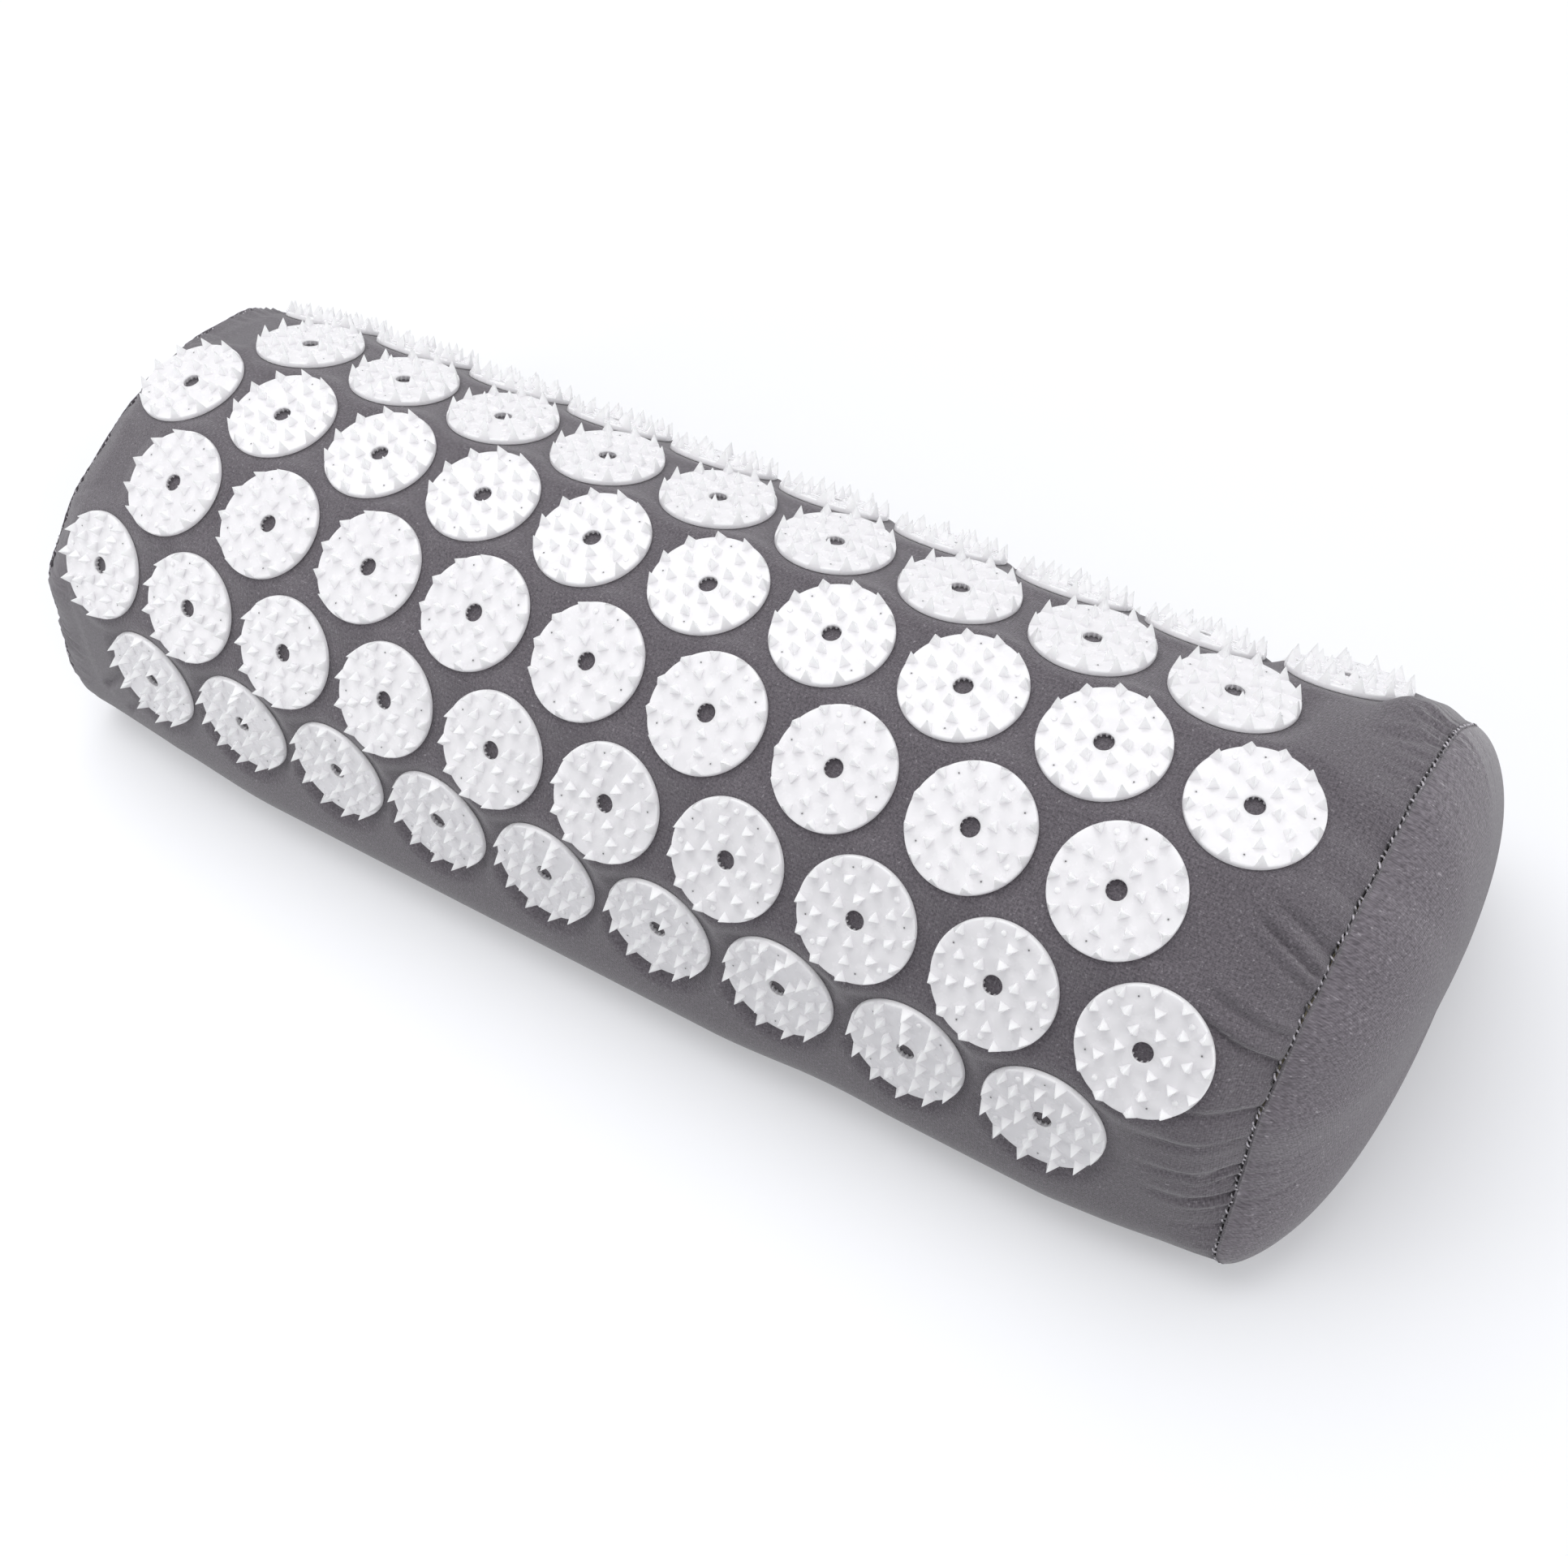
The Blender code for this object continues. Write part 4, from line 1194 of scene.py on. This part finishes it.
def build_end_stitches(side, material):
    ring = resampled(SECTION[: BACK_SEAM_STEP + 1], COVER_COLUMNS)
    seam = on_skin(np.array([side * SEAM_X]), *ring.T)[0]
    outward = -towards_middle(seam)
    across = np.tile(ALONG, (len(seam), 1))
    sink = by_end(side, STITCH_SINKS)
    seam_stitches("seam_stitches_" + END_NAMES[side], seam, across, outward, sink, material)


def build_top_stitches(side, material):
    """The line of stitches that holds the hem to the zip tape."""
    reach = ZIP_HALF_LENGTH - TOP_STITCH_PITCH
    count = int(2 * reach / TOP_STITCH_PITCH)
    y = side * (ZIP_WINDOW_HALF_WIDTH + TOP_STITCH_INSET)
    shares = np.linspace(-0.5, 0.5, 7)
    paths = []
    for index in range(count):
        x = -reach + (index + 0.5) * 2 * reach / count
        path = np.zeros((len(shares), 3))
        path[:, 0] = x + shares * TOP_STITCH_PITCH * TOP_STITCH_LENGTH_SHARE
        path[:, 1] = y
        path[:, 2] = PANEL_EDGE_Z + (2 * shares) ** 4 * THREAD_RADIUS * 2
        paths.append(path)
    name = "zip_stitches_" + SIDE_NAMES[side]
    mesh = tube_mesh(name, paths, [UP] * len(paths), THREAD_RADIUS, TUBE_SIDES)
    add_piece(mesh, material)


def build_tape(side, material):
    """The woven tape of one side, a thin slab with rounded edges."""
    low, high = TAPE_INNER_EDGE, TAPE_HALF_WIDTH
    half = TAPE_THICKNESS / 2
    outline = []
    for centre_y, start in ((high - half, -math.pi / 2), (low + half, math.pi / 2)):
        for step in range(TAPE_EDGE_STEPS + 1):
            angle = start + math.pi * step / TAPE_EDGE_STEPS
            outline.append((centre_y + half * math.cos(angle), half * math.sin(angle)))
    reach = ZIP_HALF_LENGTH + TAPE_TAIL
    xs = np.linspace(-reach, reach, TAPE_STATIONS)
    grid = np.empty((len(xs), len(outline), 3))
    grid[..., 0] = xs[:, None]
    grid[..., 1] = [y for y, _ in outline]
    beyond = (np.abs(xs) > ZIP_HALF_LENGTH)[:, None]
    widening = (high - TAPE_TAIL_INNER_EDGE) / (high - low)
    grid[..., 1] = side * np.where(beyond, high - (high - grid[..., 1]) * widening, grid[..., 1])
    grid[..., 2] = [CHAIN_Z + z for _, z in outline]
    size = grid.shape[:2]
    faces = grid_faces(*size, True, 0, side > 0) + end_caps(*size)
    name = "zipper_tape_" + SIDE_NAMES[side]
    mesh = make_mesh(name + "_woven", grid, faces, flattened(grid))
    add_piece(mesh, material, [name])


def build_coil(side, material):
    """One side's nylon coil, whose heads pass those of the other side in the middle."""
    turns = int(2 * ZIP_HALF_LENGTH / COIL_PITCH) - 1
    angles = np.arange(turns * COIL_STEPS + 1) * math.tau / COIL_STEPS
    half_width = (COIL_OUTER_EDGE + COIL_HEAD) / 2 - COIL_WIRE_RADIUS
    middle = (COIL_OUTER_EDGE - COIL_HEAD) / 2
    path = np.empty((len(angles), 3))
    shift = COIL_PITCH / 2 if side > 0 else 0.0
    path[:, 0] = -ZIP_HALF_LENGTH + COIL_PITCH / 2 + shift + angles / math.tau * COIL_PITCH
    path[:, 1] = side * (middle + half_width * np.cos(angles))
    path[:, 2] = CHAIN_Z + COIL_HALF_HEIGHT * np.sin(angles)
    name = "zip_coil_" + SIDE_NAMES[side]
    mesh = tube_mesh(name, [path], [ALONG], COIL_WIRE_RADIUS, TUBE_SIDES)
    add_piece(mesh, material)


# Materials


def add_node(tree, kind, inputs=None, **settings):
    """A shader node. An input is a value, or another node's output socket."""
    made = tree.nodes.new("ShaderNode" + kind)
    for key, value in settings.items():
        setattr(made, key, value)
    for socket, value in (inputs or {}).items():
        if isinstance(value, bpy.types.NodeSocket):
            tree.links.new(value, made.inputs[socket])
        else:
            made.inputs[socket].default_value = value
    return made


def new_material(name, roughness, **sockets):
    material = bpy.data.materials.new(name)
    material.use_nodes = True
    tree = material.node_tree
    shader = tree.nodes["Principled BSDF"]
    shader.inputs["Roughness"].default_value = roughness
    for socket, value in sockets.items():
        shader.inputs[socket.replace("_", " ")].default_value = value
    return material, tree, shader


def noise(tree, vector, scale, detail=2.0, roughness=0.5):
    inputs = {"Vector": vector, "Scale": scale, "Detail": detail, "Roughness": roughness}
    return add_node(tree, "TexNoise", inputs).outputs["Fac"]


def math_node(tree, operation, first, second=0.0):
    return add_node(tree, "Math", {0: first, 1: second}, operation=operation).outputs[0]


def blended(tree, first, second, share):
    """The first value with a share of the second one in its place."""
    first_part = math_node(tree, "MULTIPLY", first, 1 - share)
    second_part = math_node(tree, "MULTIPLY", second, share)
    return math_node(tree, "ADD", first_part, second_part)


def stretched(tree, vector, scale):
    return add_node(tree, "Mapping", {"Vector": vector, "Scale": scale}).outputs["Vector"]


def ramp(tree, factor, before, after=(0.0, 1.0)):
    """The factor, with the range before made into the range after."""
    ends = {"From Min": before[0], "From Max": before[1], "To Min": after[0], "To Max": after[1]}
    return add_node(tree, "MapRange", {"Value": factor, **ends}).outputs["Result"]


def mix_colour(tree, factor, first, second):
    made = add_node(tree, "Mix", {"Factor": factor}, data_type="RGBA")
    for socket, value in ((made.inputs[6], first), (made.inputs[7], second)):
        if isinstance(value, bpy.types.NodeSocket):
            tree.links.new(value, socket)
        else:
            socket.default_value = (*value, 1.0)
    return made.outputs[2]


def weave_height(tree, vector):
    """Little cushions where the threads cross, as in a plain weave."""
    parts = add_node(tree, "SeparateXYZ", {"Vector": vector})
    waves_along = []
    for axis in "XY":
        turns = math_node(tree, "MULTIPLY", parts.outputs[axis], math.pi / WEAVE_PITCH)
        waves_along.append(math_node(tree, "SINE", turns))
    product = math_node(tree, "MULTIPLY", *waves_along)
    return math_node(tree, "POWER", math_node(tree, "ABSOLUTE", product), WEAVE_ROUNDNESS)


def add_bump(tree, shader, height, distance, strength=1.0):
    inputs = {"Height": height, "Distance": distance, "Strength": strength}
    bump = add_node(tree, "Bump", inputs)
    tree.links.new(bump.outputs["Normal"], shader.inputs["Normal"])


def weave_place(tree):
    return add_node(tree, "Attribute", attribute_name="weave").outputs["Vector"]


def object_place(tree):
    return add_node(tree, "TexCoord").outputs["Object"]


def paint(tree, shader, factor, tones):
    colour = mix_colour(tree, factor, *tones)
    tree.links.new(colour, shader.inputs["Base Color"])


def cotton_material(name, painted_light_share):
    """Grey plain-weave cotton with uneven threads and a little lint, with painted shade in the
    hollows of its weave. A painted light share above 1 paints it all lighter, as painted light.
    """
    colours = (*COTTON_TONES, LINT_COLOUR)
    # A share above 1 paints every tone lighter, as painted light.
    dark, light, lint_colour = (tuple(value * painted_light_share for value in colour) for colour in colours)
    material, tree, shader = new_material(
        name, 0.92, Sheen_Weight=0.45, Sheen_Roughness=0.55, Specular_IOR_Level=0.2
    )
    place = weave_place(tree)
    warp_place = stretched(tree, place, (COTTON_THREAD_STRETCH, 1.0, 1.0))
    warp = noise(tree, warp_place, COTTON_THREAD_SCALE)
    weft_place = stretched(tree, place, (1.0, COTTON_THREAD_STRETCH, 1.0))
    weft = noise(tree, weft_place, COTTON_THREAD_SCALE)
    threads = blended(tree, warp, weft, 0.5)
    height = weave_height(tree, place)
    # Painted shade: the tone is darker where the weave lies low.
    tone = blended(tree, ramp(tree, threads, COTTON_THREAD_RANGE), height, COTTON_WEAVE_SHADE_SHARE)
    colour = mix_colour(tree, tone, dark, light)
    lint = ramp(tree, noise(tree, place, LINT_SCALE, 3.0, 0.7), LINT_RANGE)
    lint_share = math_node(tree, "MULTIPLY", lint, LINT_STRENGTH)
    paint(tree, shader, lint_share, (colour, lint_colour))
    weave_relief = math_node(tree, "MULTIPLY", height, COTTON_WEAVE_RELIEF_SHARE)
    add_bump(tree, shader, math_node(tree, "ADD", weave_relief, threads), COTTON_RELIEF, 0.8)
    return material


def thread_material():
    material, tree, shader = new_material("Grey thread", 0.75, Sheen_Weight=0.3)
    tone = ramp(tree, noise(tree, object_place(tree), THREAD_TONE_SCALE), THREAD_TONE_RANGE)
    paint(tree, shader, tone, THREAD_TONES)
    return material


def plastic_material():
    """Glossy white moulded plastic, with faint flow marks and a fine mould texture. It lets
    light through, and its spikes are painted lighter than the plate as well: painted light for
    the glow of the thin spikes."""
    material, tree, shader = new_material("White plastic", 0.24, IOR=1.5)
    shader.inputs["Subsurface Weight"].default_value = 0.85
    shader.inputs["Subsurface Scale"].default_value = SCATTER_REACH
    shader.inputs["Subsurface Radius"].default_value = (1.0, 1.0, 1.0)
    place = object_place(tree)
    colour = mix_colour(tree, noise(tree, place, PLATE_TONE_SCALE, 3.0), *PLATE_TONES)
    height = add_node(tree, "SeparateXYZ", {"Vector": place}).outputs["Z"]
    # Painted light: from the plate's top upwards the spikes are painted whiter than the plate.
    thin = ramp(tree, height, (PLATE_THICKNESS, PLATE_THICKNESS + SPIKE_HEIGHT / 2))
    paint(tree, shader, thin, (colour, SPIKE_PAINTED_LIGHT_COLOUR))
    gloss = ramp(tree, noise(tree, place, PLATE_GLOSS_SCALE), MIDDLE_RANGE, (0.18, 0.32))
    tree.links.new(gloss, shader.inputs["Roughness"])
    add_bump(tree, shader, noise(tree, place, PLATE_GRAIN_SCALE), PLATE_GRAIN, 0.5)
    return material


def mottled_material(name, roughness, scale, tones):
    """Two close tones in soft patches."""
    material, tree, shader = new_material(name, roughness)
    paint(tree, shader, noise(tree, object_place(tree), scale), tones)
    return material


def foam_material():
    """Cream open-cell foam, painted darker in its pores as painted shade."""
    material, tree, shader = new_material("Cream foam", 0.95, Sheen_Weight=0.2)
    inputs = {"Vector": object_place(tree), "Scale": FOAM_CELL_SCALE}
    cell_depth_and_shade = add_node(tree, "TexVoronoi", inputs).outputs["Distance"]
    # Painted shade: darker in the low middle of each cell.
    paint(tree, shader, cell_depth_and_shade, FOAM_PORE_SHADE_TONES)
    add_bump(tree, shader, cell_depth_and_shade, FOAM_RELIEF)
    return material


def tape_material():
    """Dark grey woven tape, painted darker in the hollows of its weave as painted shade."""
    material, tree, shader = new_material("Zip tape", 0.8, Sheen_Weight=0.2)
    place = stretched(tree, weave_place(tree), (1.0, TAPE_WEAVE_STRETCH, 1.0))
    height = weave_height(tree, place)
    # Painted shade: darker where the weave lies low.
    paint(tree, shader, height, TAPE_WEAVE_SHADE_TONES)
    add_bump(tree, shader, height, TAPE_RELIEF)
    return material


def zinc_material():
    """Cast zinc with a dull nickel finish and fine wear."""
    material, tree, shader = new_material("Zinc", 0.35, Metallic=1.0)
    wear = noise(tree, object_place(tree), ZINC_WEAR_SCALE, 4.0, 0.6)
    paint(tree, shader, wear, ZINC_TONES)
    tree.links.new(ramp(tree, wear, MIDDLE_RANGE, (0.25, 0.45)), shader.inputs["Roughness"])
    add_bump(tree, shader, wear, ZINC_RELIEF, 0.6)
    return material


def finish_metal(material):
    """The slider, the pull and the stops keep their shape and get rounded edges."""
    for name in ("zipper_slider", "zipper_pull_tab", "zipper_stop_start", "zipper_stop_end"):
        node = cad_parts[name]
        node.data.materials.clear()
        node.data.materials.append(material)
        bevel = node.modifiers.new("Rounded edges", "BEVEL")
        bevel.width = METAL_BEVEL
        bevel.segments = 2
        bevel.limit_method = "ANGLE"


# Stage


def seen_directly(tree):
    """1 for rays from the camera, and for what glossy and clear surfaces show."""
    path = add_node(tree, "LightPath")
    camera, glossy = path.outputs["Is Camera Ray"], path.outputs["Is Glossy Ray"]
    both = math_node(tree, "MAXIMUM", camera, glossy)
    return math_node(tree, "MAXIMUM", both, path.outputs["Is Transmission Ray"])


def mix_shader(tree, factor, first, second):
    inputs = {0: factor, 1: first.outputs[0], 2: second.outputs[0]}
    return add_node(tree, "MixShader", inputs)


def build_floor():
    """A pale floor with the bolster's shadow, white where nothing shades it. It is clear from
    below, and the soft light of the world reaches the bolster through it."""
    bm = bmesh.new()
    count = FLOOR_SEGMENTS
    bmesh.ops.create_grid(bm, x_segments=count, y_segments=count, size=FLOOR_SIZE / 2)
    mesh = bpy.data.meshes.new("floor")
    bm.to_mesh(mesh)
    bm.free()
    material = bpy.data.materials.new("Floor")
    material.use_nodes = True
    tree = material.node_tree
    tree.nodes.clear()
    white = add_node(tree, "BsdfDiffuse", {"Color": FLOOR_SEEN_COLOUR})
    glow = add_node(tree, "Emission", {"Strength": 1.0})
    blend = mix_shader(tree, FLOOR_GLOW, white, glow)
    clear = add_node(tree, "BsdfTransparent")
    above = mix_shader(tree, seen_directly(tree), clear, blend)
    below = add_node(tree, "NewGeometry").outputs["Backfacing"]
    whole = mix_shader(tree, below, above, clear)
    add_node(tree, "OutputMaterial", {"Surface": whole.outputs[0]})
    mesh.materials.append(material)
    floor = add_object("floor", mesh)
    floor.location.z = -FLOOR_DROP


def build_world():
    """Even soft light, and white where the world itself is seen."""
    world = bpy.data.worlds.new("Studio")
    world.use_nodes = True
    tree = world.node_tree
    tree.nodes.clear()
    light = add_node(tree, "Background", {"Color": WORLD_COLOUR, "Strength": AMBIENT})
    white = add_node(tree, "Background", {"Color": WHITE, "Strength": 1.0})
    chosen = mix_shader(tree, seen_directly(tree), light, white)
    add_node(tree, "OutputWorld", {"Surface": chosen.outputs[0]})
    bpy.context.scene.world = world


def add_lamp(name, kind, place, aim, energy):
    data = bpy.data.lights.new(name, kind)
    data.energy = energy
    lamp = add_object(name, data)
    lamp.location = place
    lamp.rotation_euler = aim.to_track_quat("-Z", "Y").to_euler()
    return data


def build_lamps():
    """A large soft lamp overhead, a little from behind and the left, one from the right, and a
    soft panel near the left front, whose light falls off towards the right."""
    suns = (
        ("Key", KEY_DIRECTION, KEY_ANGLE_DEG, KEY_STRENGTH),
        ("Fill", FILL_DIRECTION, FILL_ANGLE_DEG, FILL_STRENGTH),
    )
    for name, direction, angle_deg, strength in suns:
        sun = add_lamp(name, "SUN", direction, -Vector(direction), strength)
        sun.angle = math.radians(angle_deg)
    aim = Vector(PANEL_TARGET) - Vector(PANEL_PLACE)
    panel = add_lamp("Panel", "AREA", PANEL_PLACE, aim, PANEL_POWER)
    panel.size = PANEL_WIDTH


def main():
    make_camera()
    cotton = cotton_material("Grey cotton", 1.0)
    # The ends get a copy of the cotton painted lighter: painted light.
    end_cotton_painted_lighter = cotton_material("Grey cotton painted lighter for the ends", END_PAINTED_LIGHT_SHARE)
    thread = thread_material()
    tape = tape_material()
    coil = mottled_material("Zip coil", 0.35, COIL_TONE_SCALE, COIL_TONES)
    # Dark dots of painted shade for the pin holes.
    shade = mottled_material("Pin hole painted shade", 0.8, PIN_HOLE_SHADE_SCALE, PIN_HOLE_SHADE_TONES)
    build_foam(foam_material())
    build_cover(cotton)
    for side in (-1, 1):
        build_end(side, end_cotton_painted_lighter)
        build_base_panel(side, cotton)
        build_end_stitches(side, thread)
        build_top_stitches(side, thread)
        build_tape(side, tape)
        build_coil(side, coil)
    build_discs(plastic_material(), shade)
    finish_metal(zinc_material())
    build_floor()
    build_world()
    build_lamps()
    bpy.context.scene.view_settings.view_transform = "Standard"


main()
